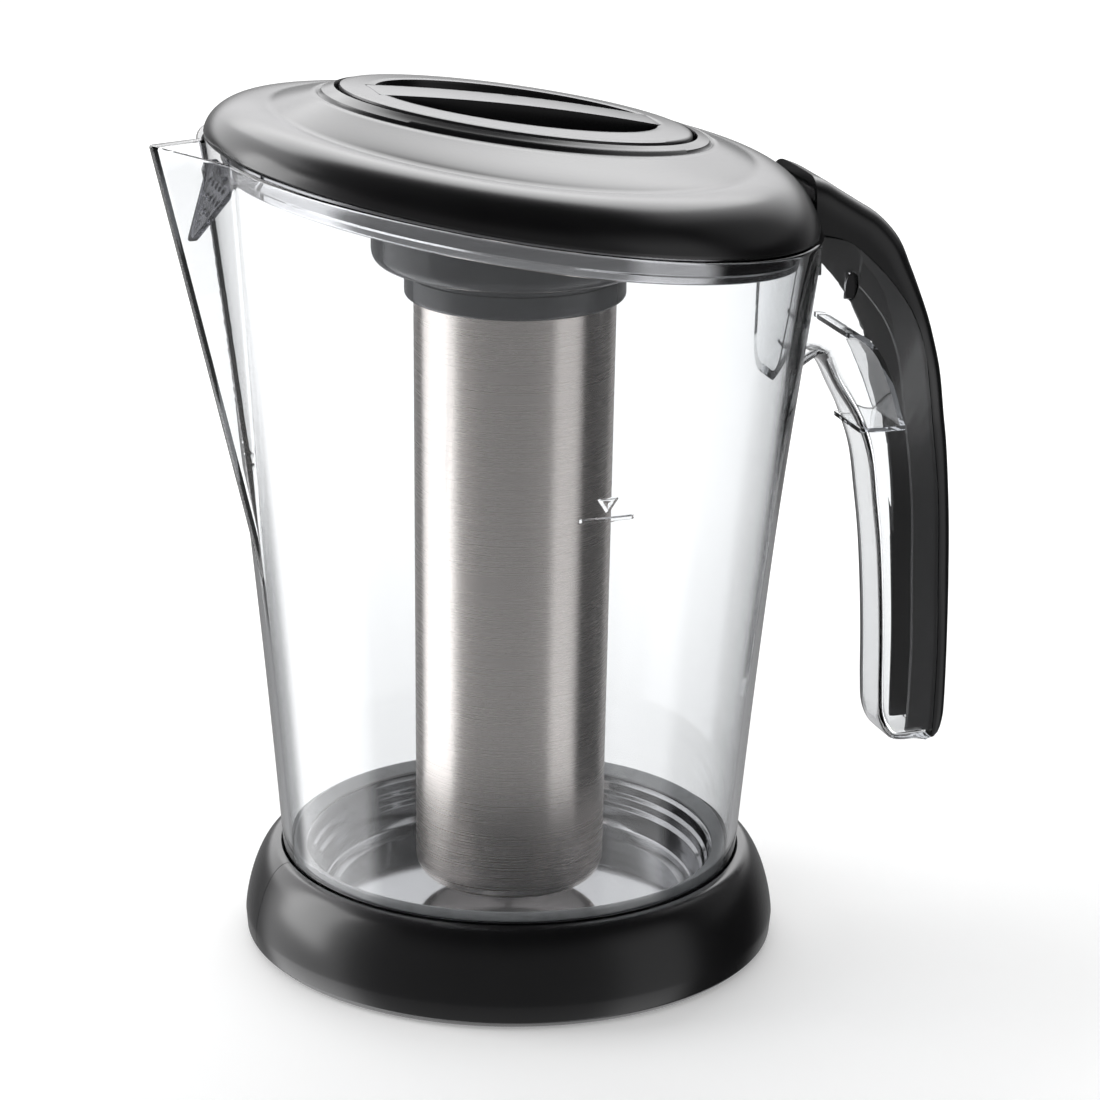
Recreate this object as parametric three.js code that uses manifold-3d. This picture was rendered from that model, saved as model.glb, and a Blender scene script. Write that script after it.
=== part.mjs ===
// A lidded jug with a cooling tube: a clear flared body with a sharp spout and a hook handle, a black
// base ring round a polished steel floor dish, and a loose domed lid that carries a steel ice tube.
// Millimetres. +Z is up, the spout points along -X and the handle along +X. The origin is on the table
// under the middle of the base.
import * as THREE from 'three';
import { mergeVertices } from 'three/addons/utils/BufferGeometryUtils.js';
import Module from 'manifold-3d';

const wasm = await Module();
wasm.setup();

// Driving dimensions of the whole jug
const baseRadius = 90;
const baseHeight = 32;
const baseFlare = 12.8;
const footRadius = baseRadius - baseFlare;
const rimHeight = 261;
const rimRadius = 101.8;
const rimSlope = Math.tan(THREE.MathUtils.degToRad(9.44));
const clearWall = 2.8;
const seatGap = 0.3;
const overrun = 12;
const roundSteps = 48;
const smallSteps = 36;

// How the clear wall flares and how it swells round the root of the handle
const wallBowShare = 0.22;
const wallRings = 7;
const rootSwell = 2.2;
const rootSwellAngle = THREE.MathUtils.degToRad(44);
const swellStartShare = 0.52;
const swellEndShare = 0.9;

// Spout: the ridge line, its half angle and the rounded ridge
const spoutReach = 21.1;
const spoutRootShare = 0.506;
const spoutRootZ = rimHeight * spoutRootShare;
const spoutHalfAngle = THREE.MathUtils.degToRad(44);
const spoutRidgeRound = 2.5;
const spoutInnerRound = 0.5;
const spoutDepth = 34;

// Foot of the clear body, where the floor dish is seated
const footDepth = 8;
const ledgeWidth = 6.7;
const ledgeInnerRadius = footRadius - ledgeWidth;
const ledgeThickness = 6.6;

// Fill mark on the near wall
const markHeightShare = 0.666;
const markHeight = rimHeight * markHeightShare;
const markLength = 18;
const markThickness = 1.1;
const markProud = 0.5;
const markTurn = 0.4;
const markerWidth = 6;
const markerHeight = 4.5;
const markerLift = 2.4;

// Floor dish and its seal
const dishRimInset = 8.7;
const dishRimRadius = footRadius - dishRimInset;
const dishDraft = 4.5;
const dishFloorRadius = dishRimRadius - dishDraft;
const dishFloorDepth = 18;
const dishFloorZ = baseHeight - dishFloorDepth;
const dishSheet = 0.8;
const dishBeadDrop = 8;
const dishBeadStep = 1.1;
const dishCorner = 3;
const sealHeight = 3.3;

// Base ring halves, closing plate and screws
const baseEdgeHeight = 8;
const baseEdgeShare = 0.3;
const baseBottomInset = 3.2;
const baseWall = 2.6;
const baseTopGap = 0.5;
const baseTopLip = 0.8;
const baseCurvePower = 1.4;
const baseCurveSteps = 6;
const baseLedgeWidth = 6;
const baseLedgeThickness = 2.6;
const bossRadius = 4.2;
const bossRingInset = 13;
const bossRingRadius = baseRadius - bossRingInset;
const bossAngles = [45, 135, 225, 315];
const plateThickness = 3;
const screwRadius = 1.5;
const screwHeadRadius = 2.8;
const screwHeadHeight = 1.6;
const screwHeadTaperShare = 0.8;
const baseScrewLength = 11;
const screwSteps = 12;

// Handle: its reach, its length and its width, and the walls of the clear channel
const handleStandOff = 54.8;
const handleReach = rimRadius + handleStandOff;
const handleFootLift = 23;
const handleBottomZ = baseHeight + handleFootLift;
const handleTopDrop = 2;
const handleTopZ = rimHeight - handleTopDrop;
const handleRootWidth = 41;
const handleGripWidth = 23.5;
const handleWall = 2.4;
const gripRound = 5;
const coverRound = 5;
const sideOverrun = 2;
const coverSkin = 3;
const coverFlangeDepth = 8.6;
const coverFlangeThickness = 2;
const coverFlangeInset = 6.2;
const coverFlangeStart = rimRadius + coverFlangeInset;
const coverFlangeLift = 11;
const coverFlangeFoot = handleBottomZ + coverFlangeLift;
const latchWidth = 4.4;
const latchHeight = 10.3;
const latchReachShare = 0.19;
const latchHeightShare = 0.822;
const ribThickness = 1.6;
const ribFloorShare = 0.3;
const roundedPower = 4;
const crossShares = [-1, -0.92, -0.7, 0, 0.7, 0.92, 1];

// Lid: a round rim that turns into an oval towards the plug
const lidEdgeInset = 1.9;
const lidEdgeRadius = rimRadius - lidEdgeInset;
const lidBulge = 0.7;
const lidBulgeHeight = 1.6;
const lidShift = -1.1;
const lidCreaseInset = 20.4;
const lidCreaseRadius = lidEdgeRadius - lidCreaseInset;
const lidCreaseHeight = 16.9;
const lidCreaseRise = 2.8;
const lidCreaseSideDrop = 1.35;
const lidShoulderOutPower = 0.833;
const lidShoulderUpPower = 1.256;
const lidShoulderSteps = 8;
const lidTopHeight = 24.5;
const lidSkin = 2.5;
const lidGrooveOffset = 5.2;
const lidGrooveWidth = 0.7;
const lidGrooveDepth = 0.9;
const plugOvalShare = 0.765;
const seatTopHeight = 17;
const seatThickness = 4;

// Steel liner under the lid
const linerInset = 4.7;
const linerRadius = lidEdgeRadius - linerInset;
const linerDrop = 9.2;
const linerSheet = 1;
const linerTopHeight = 4.5;

// Plug, its finger recesses and its grip bar
const openingInset = 19.3;
const openingRadius = lidCreaseRadius - openingInset;
const seatWidth = 9.7;
const seatInnerRadius = openingRadius - seatWidth;
const plugGap = 1.4;
const plugProud = 0.7;
const plugCrown = 2.5;
const recessInset = 13.2;
const recessRadius = openingRadius - recessInset;
const recessOvalShare = 0.713;
const recessFloorHeight = 12;
const recessDraft = 1;
const recessWall = 1.8;
const recessFloor = 2.2;
const barWidth = 16;
const barThickness = 6.5;
const barStartInset = 11.2;
const barEndInset = 13.2;
const stopperPlay = 2.7;
const stopperRimDrop = 21;
const stopperBottomZ = rimHeight - stopperRimDrop;
const stopperWall = 2.2;
const gasketReach = 2.4;
const gasketHeight = 4;
const gasketLift = 2;

// Tube socket, collar and ice tube
const socketInset = 12.7;
const socketRadius = openingRadius - socketInset;
const socketDrop = 25.2;
const socketBottomZ = rimHeight - socketDrop;
const socketRound = 5;
const socketFlangeInset = 3.2;
const socketFlangeRadius = openingRadius - socketFlangeInset;
const socketFlangeThickness = 4.7;
const socketPocketWall = 2.9;
const socketPocketRadius = recessRadius + socketPocketWall;
const socketPocketOvalShare = 0.74;
const socketShoulderDrop = 11.7;
const socketShoulderZ = rimHeight - socketShoulderDrop;
const collarInset = 10.9;
const collarRadius = socketRadius - collarInset;
const collarWall = 3.1;
const collarBottomDrop = 36.6;
const collarBottomZ = rimHeight - collarBottomDrop;
const collarTopDrop = 15;
const collarTopZ = rimHeight - collarTopDrop;
const collarRound = 2.5;
const tubeTopRadius = collarRadius - collarWall;
const tubeDraft = 1.8;
const tubeFootRadius = tubeTopRadius - tubeDraft;
const tubeFloorGap = 6.6;
const tubeBottomZ = dishFloorZ + tubeFloorGap;
const tubeSheet = 0.8;
const tubeCorner = 8;
const tubeFlangeReach = 2.6;
const socketWellStep = 0.5;
const socketWellRadius = tubeTopRadius - socketWellStep;
const stopperRadius = tubeTopRadius - tubeSheet - stopperPlay;
const lugWidth = 8;
const lugHeight = 3.4;
const lugReach = 2;
const lugDrop = 19;
const lugMidZ = rimHeight - lugDrop;
const lugPlay = 0.8;
const lugAngles = [30, 150, 270];
const twistDegrees = 60;
const lidScrewLength = 8.5;
const lidScrewInset = 8.7;
const lidScrewX = openingRadius - lidScrewInset;
const lidScrewY = 10.5;
const lidScrewSpots = [1, -1].flatMap((end) => [[end * lidScrewX, lidScrewY], [end * lidScrewX, -lidScrewY]]);

// Strainer tongue at the front of the lid, which fills the mouth of the spout
const strainerTopInset = 4.3;
const strainerTopX = strainerTopInset - rimRadius;
const strainerLean = 11.1;
const strainerTipX = strainerTopX - strainerLean;
const strainerHalfWidth = 17;
const strainerRimDrop = 5.7;
const strainerTopZ = rimHeight - rimSlope * strainerTopX - strainerRimDrop;
const strainerLength = 21.5;
const strainerTipZ = strainerTopZ - strainerLength;
const strainerTipRound = 2.4;
const strainerThickness = 1.4;
const strainerFrame = 1.7;
const strainerFrameThickness = 2.4;
const strainerTabWidth = 12;
const strainerTabHeight = 3;
const strainerHoleRadius = 1.05;
const strainerHolePitch = 4;
const strainerHoleSteps = 8;
const strainerHoleStretch = 1.3;

// A finish for each kind of surface
const finishes = {
  clear: { color: 0xe9eef0, roughness: 0.05, metalness: 0, transparent: true, opacity: 0.35 },
  blackSatin: { color: 0x1c1c1d, roughness: 0.45, metalness: 0 },
  darkGloss: { color: 0x333437, roughness: 0.2, metalness: 0 },
  steel: { color: 0xb9b6b2, roughness: 0.32, metalness: 1 },
  mirrorSteel: { color: 0xd2d2d6, roughness: 0.06, metalness: 1 },
  silicone: { color: 0x8d8f92, roughness: 0.6, metalness: 0 },
  smokeClear: { color: 0xa9a9ae, roughness: 0.25, metalness: 0, transparent: true, opacity: 0.6 },
  zincSteel: { color: 0x9a9a98, roughness: 0.35, metalness: 1 },
};

// Closed solids and their joining and cutting

function solidOf(points, triangles) {
  const vertProperties = Float32Array.from(points);
  return new wasm.Manifold(new wasm.Mesh({ numProp: 3, vertProperties, triVerts: Uint32Array.from(triangles) }));
}

function closedSolid(geometry) {
  const bare = geometry.clone();
  bare.deleteAttribute('normal');
  bare.deleteAttribute('uv');
  const merged = mergeVertices(bare);
  const places = merged.attributes.position.array;
  const corners = [new THREE.Vector3(), new THREE.Vector3(), new THREE.Vector3()];
  const triangles = [];
  let volume = 0;
  for (let i = 0; i < merged.index.count; i += 3) {
    const triangle = [0, 1, 2].map((k) => merged.index.getX(i + k));
    if (new Set(triangle).size < 3) continue;
    triangle.forEach((corner, k) => corners[k].fromArray(places, corner * 3));
    volume += corners[0].dot(corners[1].cross(corners[2]));
    triangles.push(triangle);
  }
  const facing = volume < 0 ? triangles.map(([a, b, c]) => [a, c, b]) : triangles;
  return solidOf(places, facing.flat());
}

function geometryOf(solid) {
  const mesh = solid.getMesh();
  const geometry = new THREE.BufferGeometry();
  geometry.setAttribute('position', new THREE.BufferAttribute(Float32Array.from(mesh.vertProperties), 3));
  geometry.setIndex(new THREE.BufferAttribute(Uint32Array.from(mesh.triVerts), 1));
  geometry.computeVertexNormals();
  return geometry;
}

function join(first, ...others) {
  return others.reduce((sum, other) => sum.add(other), first);
}

function cut(first, ...others) {
  return others.reduce((rest, other) => rest.subtract(other), first);
}

function warped(geometry, move) {
  const places = geometry.attributes.position;
  const point = new THREE.Vector3();
  for (let i = 0; i < places.count; i += 1) {
    point.fromBufferAttribute(places, i);
    move(point);
    places.setXYZ(i, point.x, point.y, point.z);
  }
  return geometry;
}

// A turned solid about Z from a profile of [radius, height] pairs that closes on itself or on the axis
function turned(profile, steps = roundSteps, move = null) {
  const onAxis = profile[0][0] === 0 && profile[profile.length - 1][0] === 0;
  const outline = onAxis ? profile : [...profile, profile[0]];
  const geometry = new THREE.LatheGeometry(outline.map(([r, z]) => new THREE.Vector2(r, z)), steps);
  geometry.rotateX(Math.PI / 2);
  return closedSolid(move ? warped(geometry, move) : geometry);
}

// A prism with a plan drawn in X and Y, standing from one height to another
function planPrism(shape, fromZ, toZ, curveSteps = 8, move = null) {
  const geometry = new THREE.ExtrudeGeometry(shape, {
    depth: toZ - fromZ,
    bevelEnabled: false,
    curveSegments: curveSteps,
  });
  geometry.translate(0, 0, fromZ);
  return closedSolid(move ? warped(geometry, move) : geometry);
}

function block(sizeX, sizeY, sizeZ, x, y, z, move = null) {
  const geometry = new THREE.BoxGeometry(sizeX, sizeY, sizeZ).translate(x, y, z);
  return closedSolid(move ? warped(geometry, move) : geometry);
}

function pillar(radius, fromZ, toZ, x = 0, y = 0, steps = roundSteps) {
  const height = toZ - fromZ;
  const geometry = new THREE.CylinderGeometry(radius, radius, height, steps);
  geometry.rotateX(Math.PI / 2);
  return closedSolid(geometry.translate(x, y, fromZ + height / 2));
}

function polygon(points) {
  return new THREE.Shape(points.map(([x, y]) => new THREE.Vector2(x, y)));
}

// A solid through layers of points, whose ends are closed as seen through a flattening
function loft(layers, flatten) {
  const count = layers[0].length;
  const flat = layers[Math.floor(layers.length / 2)].map(flatten);
  const cap = THREE.ShapeUtils.triangulateShape(flat, []);
  const last = (layers.length - 1) * count;
  const faces = [...cap, ...cap.map(([a, b, c]) => [last + c, last + b, last + a])];
  const turn = THREE.ShapeUtils.isClockWise(flat);
  for (let i = 0; i < last; i += 1) {
    const before = i % count === 0 ? i + count - 1 : i - 1;
    const [a, b] = turn ? [i, before] : [before, i];
    faces.push([b, a, a + count], [b, a + count, b + count]);
  }
  const geometry = new THREE.BufferGeometry();
  geometry.setAttribute('position', new THREE.Float32BufferAttribute(layers.flat(2), 3));
  geometry.setIndex(faces.flat());
  return closedSolid(geometry);
}

function smoothShare(value) {
  const t = THREE.MathUtils.clamp(value, 0, 1);
  return t * t * (3 - 2 * t);
}

// Points on a quarter turn from straight out (share 0) to straight up (share 1)
function quarterTurn(centreRadius, centreZ, radius, steps, downward = false) {
  return Array.from({ length: steps + 1 }, (_, i) => {
    const angle = ((Math.PI / 2) * i) / steps;
    const rise = Math.sin(angle) * radius;
    return [centreRadius + Math.cos(angle) * radius, downward ? centreZ - rise : centreZ + rise];
  });
}

// The clear wall and the rim plane, from which the lid, handle, spout and base all take their places

const spoutTipX = -(rimRadius + spoutReach);
const rimTopZ = rimHeight - rimSlope * spoutTipX;
const footBottomZ = baseHeight - footDepth;
const ledgeTopZ = footBottomZ + ledgeThickness;

function wallRadius(z) {
  const share = Math.max((z - baseHeight) / (rimHeight - baseHeight), 0);
  const bow = (1 - wallBowShare) * share + wallBowShare * share * share;
  return footRadius + (rimRadius - footRadius) * bow;
}

function rimPlaneZ(x) {
  return rimHeight - rimSlope * x;
}

// Thickens the wall outwards where the handle grows out of it
function swellWith(point) {
  const rise = (point.z / rimHeight - swellStartShare) / (swellEndShare - swellStartShare);
  const aside = Math.abs(Math.atan2(point.y, point.x)) / rootSwellAngle;
  const radius = Math.hypot(point.x, point.y);
  const stretch = radius > 0 ? 1 + (rootSwell * smoothShare(rise) * smoothShare(1 - aside)) / radius : 1;
  point.x *= stretch;
  point.y *= stretch;
}

// Turns a height above the rim plane into a height above the table
function slopeWith(point) {
  point.z += rimPlaneZ(point.x);
}

function shiftedSlope(point) {
  point.x += lidShift;
  slopeWith(point);
}

// The solid inside a surface that runs beside the clear wall, outset by a distance
function wallCore(outset, fromZ) {
  const topZ = rimTopZ + overrun;
  const lowZ = Math.max(fromZ, baseHeight);
  const heights = Array.from({ length: wallRings + 1 }, (_, i) => THREE.MathUtils.lerp(lowZ, topZ, i / wallRings));
  const start = fromZ < baseHeight ? [[footRadius + outset, fromZ]] : [];
  const side = heights.map((z) => [wallRadius(z) + outset, z]);
  return turned([[0, fromZ], ...start, ...side, [0, topZ]], roundSteps, outset < 0 ? null : swellWith);
}

// Everything above the sloping rim plane, raised by a height above it
function aboveRim(raise = 0) {
  const span = baseRadius * 4;
  return block(span, span, span, 0, 0, raise + span / 2, slopeWith);
}

function ridgeX(z) {
  const share = (z - spoutRootZ) / (rimTopZ - spoutRootZ);
  return THREE.MathUtils.lerp(-wallRadius(spoutRootZ), spoutTipX, share);
}

// The V of the spout: a prism that leans out along the ridge line, set in by a distance
function spoutWedge(inset) {
  const sine = Math.sin(spoutHalfAngle);
  const round = Math.max(spoutRidgeRound - inset, spoutInnerRound);
  const centre = spoutRidgeRound + (inset + round - spoutRidgeRound) / sine;
  const halfWidth = spoutDepth * Math.tan(spoutHalfAngle) + round / Math.cos(spoutHalfAngle);
  const turn = Math.PI / 2 + spoutHalfAngle;
  const shape = new THREE.Shape();
  shape.moveTo(centre + spoutDepth, -halfWidth);
  shape.lineTo(centre + spoutDepth, halfWidth);
  shape.absarc(centre, 0, round, turn, -turn, false);
  return planPrism(shape, spoutRootZ - overrun * 2, rimTopZ + overrun, 5, (point) => {
    point.x += ridgeX(point.z);
  });
}

// A raised line at the fill height with a small pointer above it
function fillMark() {
  const innerRadius = wallRadius(markHeight) - clearWall / 2;
  const band = (fromZ, toZ) => turned([
    [innerRadius, fromZ],
    [wallRadius(fromZ) + markProud, fromZ],
    [wallRadius(toZ) + markProud, toZ],
    [innerRadius, toZ],
  ], roundSteps * 2);
  const nearY = -wallRadius(markHeight);
  const lineWindow = block(markLength, clearWall * 6, markThickness * 4, 0, nearY, markHeight);
  const line = band(markHeight - markThickness / 2, markHeight + markThickness / 2).intersect(lineWindow);
  const bottomZ = markHeight + markerLift;
  const topZ = bottomZ + markerHeight;
  const shape = polygon([[-markerWidth / 2, topZ], [0, bottomZ], [markerWidth / 2, topZ]]);
  const geometry = new THREE.ExtrudeGeometry(shape, { depth: clearWall * 6, bevelEnabled: false });
  geometry.rotateX(Math.PI / 2);
  geometry.translate(0, nearY + clearWall * 3, 0);
  const pointer = band(bottomZ, topZ).intersect(closedSolid(geometry));
  return join(line, pointer).rotate([0, 0, markTurn]);
}

function jugBody() {
  const shell = join(wallCore(0, footBottomZ), spoutWedge(0), fillMark());
  const hollow = join(wallCore(-clearWall, ledgeTopZ), spoutWedge(clearWall));
  const drain = pillar(ledgeInnerRadius, footBottomZ - overrun, ledgeTopZ + overrun / 2);
  return cut(shell, hollow, drain, aboveRim());
}

// Floor dish: a drawn steel pan whose flange lies on the ledge, and the seal over it

const dishFlangeZ = ledgeTopZ + seatGap;
const dishTopZ = dishFlangeZ + dishSheet;
const dishFlangeRadius = footRadius - clearWall - seatGap * 2;

function floorDish() {
  const beadZ = dishTopZ - dishBeadDrop;
  const beadShare = dishBeadDrop / (dishTopZ - dishFloorZ);
  const beadRadius = THREE.MathUtils.lerp(dishRimRadius, dishFloorRadius, beadShare);
  return turned([
    [0, dishFloorZ],
    [dishFloorRadius - dishCorner, dishFloorZ],
    [dishFloorRadius, dishFloorZ + dishCorner / 2],
    [beadRadius - dishBeadStep, beadZ - dishBeadStep],
    [beadRadius, beadZ],
    [dishRimRadius, dishTopZ - dishSheet],
    [dishRimRadius + dishSheet, dishTopZ],
    [dishFlangeRadius, dishTopZ],
    [dishFlangeRadius, dishFlangeZ],
    [dishRimRadius + dishSheet * 2, dishFlangeZ],
    [dishRimRadius + dishSheet, dishFlangeZ - dishSheet],
    [beadRadius + dishSheet, beadZ],
    [beadRadius - dishBeadStep + dishSheet, beadZ - dishBeadStep],
    [dishFloorRadius + dishSheet, dishFloorZ + dishCorner / 2 - dishSheet / 2],
    [dishFloorRadius - dishCorner, dishFloorZ - dishSheet],
    [0, dishFloorZ - dishSheet],
  ]);
}

function floorSeal() {
  const bottomZ = dishTopZ + seatGap;
  const innerRadius = dishRimRadius + dishSheet;
  return turned([
    [innerRadius, bottomZ],
    [dishFlangeRadius, bottomZ],
    [dishFlangeRadius, bottomZ + sealHeight],
    [dishFlangeRadius - dishSheet, bottomZ + sealHeight],
    [innerRadius, bottomZ + dishSheet],
  ]);
}

// Base ring: two half shells that carry the foot of the body, closed by a plate and four screws

const baseTopRadius = footRadius + baseTopGap;
const baseBottomRadius = baseRadius - baseBottomInset;
const baseLedgeTopZ = footBottomZ - seatGap;
const baseLedgeBottomZ = baseLedgeTopZ - baseLedgeThickness;
const plateRadius = baseBottomRadius - baseWall - seatGap * 2;
const plateTopZ = plateThickness + seatGap;

function bossSpots() {
  return bossAngles.map((degrees) => {
    const angle = THREE.MathUtils.degToRad(degrees);
    return [bossRingRadius * Math.cos(angle), bossRingRadius * Math.sin(angle)];
  });
}

function baseRing() {
  const lipRadius = baseTopRadius + baseTopLip;
  const side = Array.from({ length: baseCurveSteps + 1 }, (_, i) => {
    const angle = ((Math.PI / 2) * i) / baseCurveSteps;
    const drop = Math.cos(angle) ** baseCurvePower;
    return [
      THREE.MathUtils.lerp(lipRadius, baseRadius, Math.sin(angle)),
      THREE.MathUtils.lerp(baseEdgeHeight, baseHeight, drop),
    ];
  });
  const inside = side.map(([radius, z]) => [radius - baseWall, z]).reverse();
  const below = inside.filter(([, z]) => z < baseLedgeBottomZ);
  const ledgeOuter = below[below.length - 1][0];
  const shell = turned([
    ...side,
    [baseRadius - baseBottomInset * baseEdgeShare / 2, baseEdgeHeight * baseEdgeShare],
    [baseBottomRadius, 0],
    [baseBottomRadius - baseWall, 0],
    ...below,
    [ledgeOuter - baseWall / 2, baseLedgeBottomZ],
    [footRadius - baseLedgeWidth, baseLedgeBottomZ],
    [footRadius - baseLedgeWidth, baseLedgeTopZ],
    [baseTopRadius, baseLedgeTopZ],
    [baseTopRadius, baseHeight],
  ]);
  const bossTop = baseLedgeBottomZ + baseLedgeThickness / 2;
  const bosses = bossSpots().map(([x, y]) => pillar(bossRadius, plateTopZ, bossTop, x, y, screwSteps * 2));
  const holeRadius = screwRadius + seatGap;
  const holes = bossSpots().map(([x, y]) => pillar(holeRadius, 0, baseScrewLength + seatGap * 3, x, y, screwSteps));
  return cut(join(shell, ...bosses), ...holes);
}

function baseHalf(whole, side) {
  const span = baseRadius * 3;
  return whole.intersect(block(span, span, span, 0, side * (span / 2 + seatGap / 2), 0));
}

function basePlate() {
  const sinkDepth = screwHeadHeight + seatGap * 2;
  const holes = bossSpots().flatMap(([x, y]) => [
    pillar(screwRadius + seatGap, -overrun, overrun, x, y, screwSteps),
    pillar(screwHeadRadius + seatGap, -overrun, sinkDepth, x, y, screwSteps * 2),
  ]);
  return cut(pillar(plateRadius, 0, plateThickness), ...holes);
}

// A slotted screw that stands on its head from z = 0, moved to a place
function screw(length, x, y, z) {
  const solid = turned([
    [0, 0],
    [screwHeadRadius * screwHeadTaperShare, 0],
    [screwHeadRadius, screwHeadHeight / 3],
    [screwHeadRadius, screwHeadHeight],
    [screwRadius, screwHeadHeight],
    [screwRadius, length - screwRadius],
    [0, length],
  ], screwSteps);
  const slot = block(screwHeadRadius * 3, screwRadius / 2, screwHeadHeight, 0, 0, 0);
  return solid.subtract(slot).translate([x, y, z]);
}

// Handle: curves of the side view and the half width, each in shares of its reach and height

const gripShares = [
  [-0.04, 0.685], [0.1, 0.668], [0.21, 0.63], [0.33, 0.575], [0.415, 0.51], [0.46, 0.43], [0.498, 0.35],
  [0.525, 0.255], [0.54, 0.17], [0.548, 0.09], [0.565, 0.04], [0.63, 0.006], [0.72, -0.002],
];
const seamShares = [
  [-0.04, 0.915], [0.11, 0.903], [0.22, 0.884], [0.354, 0.851], [0.493, 0.808], [0.597, 0.765], [0.695, 0.703],
  [0.757, 0.63], [0.789, 0.588], [0.845, 0.497], [0.88, 0.407], [0.896, 0.288], [0.912, 0.167], [0.905, 0.047],
  [0.893, 0.003],
];
const backShares = [
  [-0.04, 1.001], [0.04, 0.99], [0.144, 0.975], [0.266, 0.956], [0.404, 0.931], [0.53, 0.892], [0.6, 0.848],
  [0.655, 0.809], [0.755, 0.735], [0.84, 0.662], [0.898, 0.588], [0.944, 0.515], [0.98, 0.407], [0.998, 0.299],
  [1, 0.191], [0.998, 0.06], [0.965, 0.012],
];
const ribShares = [[0.2, 0.738], [0.3, 0.732], [0.42, 0.701], [0.525, 0.641], [0.615, 0.575], [0.632, 0.566]];
const widthShares = [[0, 0], [0.3, 0.04], [0.47, 0.08], [0.55, 0.17], [0.6, 0.32], [0.7, 0.72], [0.8, 0.98], [1, 1]];
const gripSteps = 20;
const seamSteps = 20;
const backSteps = 24;
const ribSteps = 8;

function handlePoint([reachShare, heightShare]) {
  const x = THREE.MathUtils.lerp(rimRadius, handleReach, reachShare);
  const z = THREE.MathUtils.lerp(handleBottomZ, handleTopZ, heightShare);
  return new THREE.Vector2(x, z);
}

function handleWidth(z) {
  const share = THREE.MathUtils.clamp((z - handleBottomZ) / (handleTopZ - handleBottomZ), 0, 1);
  const next = Math.max(widthShares.findIndex(([height]) => height >= share), 1);
  const [lowHeight, lowWidth] = widthShares[next - 1];
  const [highHeight, highWidth] = widthShares[next];
  const along = (share - lowHeight) / (highHeight - lowHeight);
  return THREE.MathUtils.lerp(handleGripWidth, handleRootWidth, THREE.MathUtils.lerp(lowWidth, highWidth, along));
}

// Points along a handle curve, moved outwards from the jug by a distance
function handleLine(shares, steps, outward = 0) {
  const curve = new THREE.SplineCurve(shares.map(handlePoint));
  return Array.from({ length: steps + 1 }, (_, i) => {
    const point = curve.getPoint(i / steps);
    const tangent = curve.getTangent(i / steps);
    return [point.x - tangent.y * outward, point.y + tangent.x * outward];
  });
}

// Two upright sides that follow the width of the handle, less a margin on each side
function handleSides(margin) {
  const [nearX, farX] = [rimRadius - overrun * 2, handleReach + overrun];
  const heights = widthShares.map(([height]) => THREE.MathUtils.lerp(handleBottomZ, handleTopZ, height));
  const levels = [handleBottomZ - overrun, ...heights, handleTopZ + overrun * 2];
  return loft(levels.map((z) => {
    const half = handleWidth(z) / 2 - margin;
    return [[nearX, -half, z], [farX, -half, z], [farX, half, z], [nearX, half, z]];
  }), ([x, y]) => new THREE.Vector2(x, y));
}

// A slab across the handle whose side view may change from the middle to the sides
function handleSlab(outlineAt, shares = [-1, 1]) {
  const half = handleRootWidth;
  return loft(shares.map((share) => outlineAt(share).map(([x, z]) => [
    x, shares.length > 2 ? share * (handleWidth(z) / 2 + sideOverrun) : share * half, z,
  ])), ([x, , z]) => new THREE.Vector2(x, z));
}

function roundedInset(share, round) {
  return round * (1 - Math.sqrt(1 - Math.abs(share) ** roundedPower));
}

function handleChannel() {
  const seam = handleLine(seamShares, seamSteps).reverse();
  const solid = handleSlab((share) => [
    ...handleLine(gripShares, gripSteps, roundedInset(share, gripRound)),
    ...seam,
  ], crossShares);
  const inner = handleLine(gripShares, gripSteps, handleWall);
  const [startX, startZ] = inner[0];
  const endZ = inner[inner.length - 1][1];
  const past = handleReach + overrun;
  const above = handleTopZ + overrun;
  const hollow = handleSlab(() => [
    [startX - overrun, startZ],
    ...inner,
    [past, endZ],
    [past, above],
    [startX - overrun, above],
  ]).intersect(handleSides(handleWall));
  const [latchX, latchZ] = handlePoint([latchReachShare, latchHeightShare]).toArray();
  const latch = block(latchWidth, handleRootWidth * 2, latchHeight, latchX, 0, latchZ);
  const outside = solid.intersect(handleSides(0));
  return cut(outside, hollow.subtract(handleRib()), latch, wallCore(seatGap, footBottomZ));
}

// The curved web inside the channel, which ends in a short level floor
function handleRib() {
  const upper = handleLine(ribShares, ribSteps);
  const lower = handleLine(ribShares, ribSteps, -ribThickness).reverse();
  const curve = handleSlab(() => [...lower, ...upper]);
  const [endX, endZ] = upper[ribSteps];
  const length = (handleReach - rimRadius) * ribFloorShare;
  const floor = block(length, handleRootWidth * 2, ribThickness, endX - length / 2, 0, endZ - ribThickness / 2);
  return join(curve, floor);
}

function handleCover() {
  const seam = handleLine(seamShares, seamSteps, seatGap);
  const back = (outward) => handleLine(backShares, backSteps, outward).reverse();
  const skin = handleSlab((share) => [...seam, ...back(-roundedInset(share, coverRound))], crossShares);
  const window = block(handleReach, handleRootWidth * 2, handleTopZ, coverFlangeStart + handleReach / 2, 0,
    coverFlangeFoot + handleTopZ / 2);
  const margin = handleWall + seatGap;
  const flangeEdge = handleLine(seamShares, seamSteps, -coverFlangeDepth);
  const flangeSlab = handleSlab(() => [...flangeEdge, ...handleLine(seamShares, seamSteps, coverSkin / 2).reverse()]);
  const flanges = flangeSlab.intersect(handleSides(margin)).intersect(window);
  const hollowEdge = handleLine(seamShares, seamSteps, -coverFlangeDepth * 2);
  const hollowSlab = handleSlab(() => [...hollowEdge, ...back(-coverSkin)]);
  const hollow = hollowSlab.intersect(handleSides(margin + coverFlangeThickness)).intersect(window);
  const solid = join(skin.intersect(handleSides(0)), flanges);
  return cut(solid, hollow, wallCore(seatGap, footBottomZ), lidPassage());
}

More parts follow.
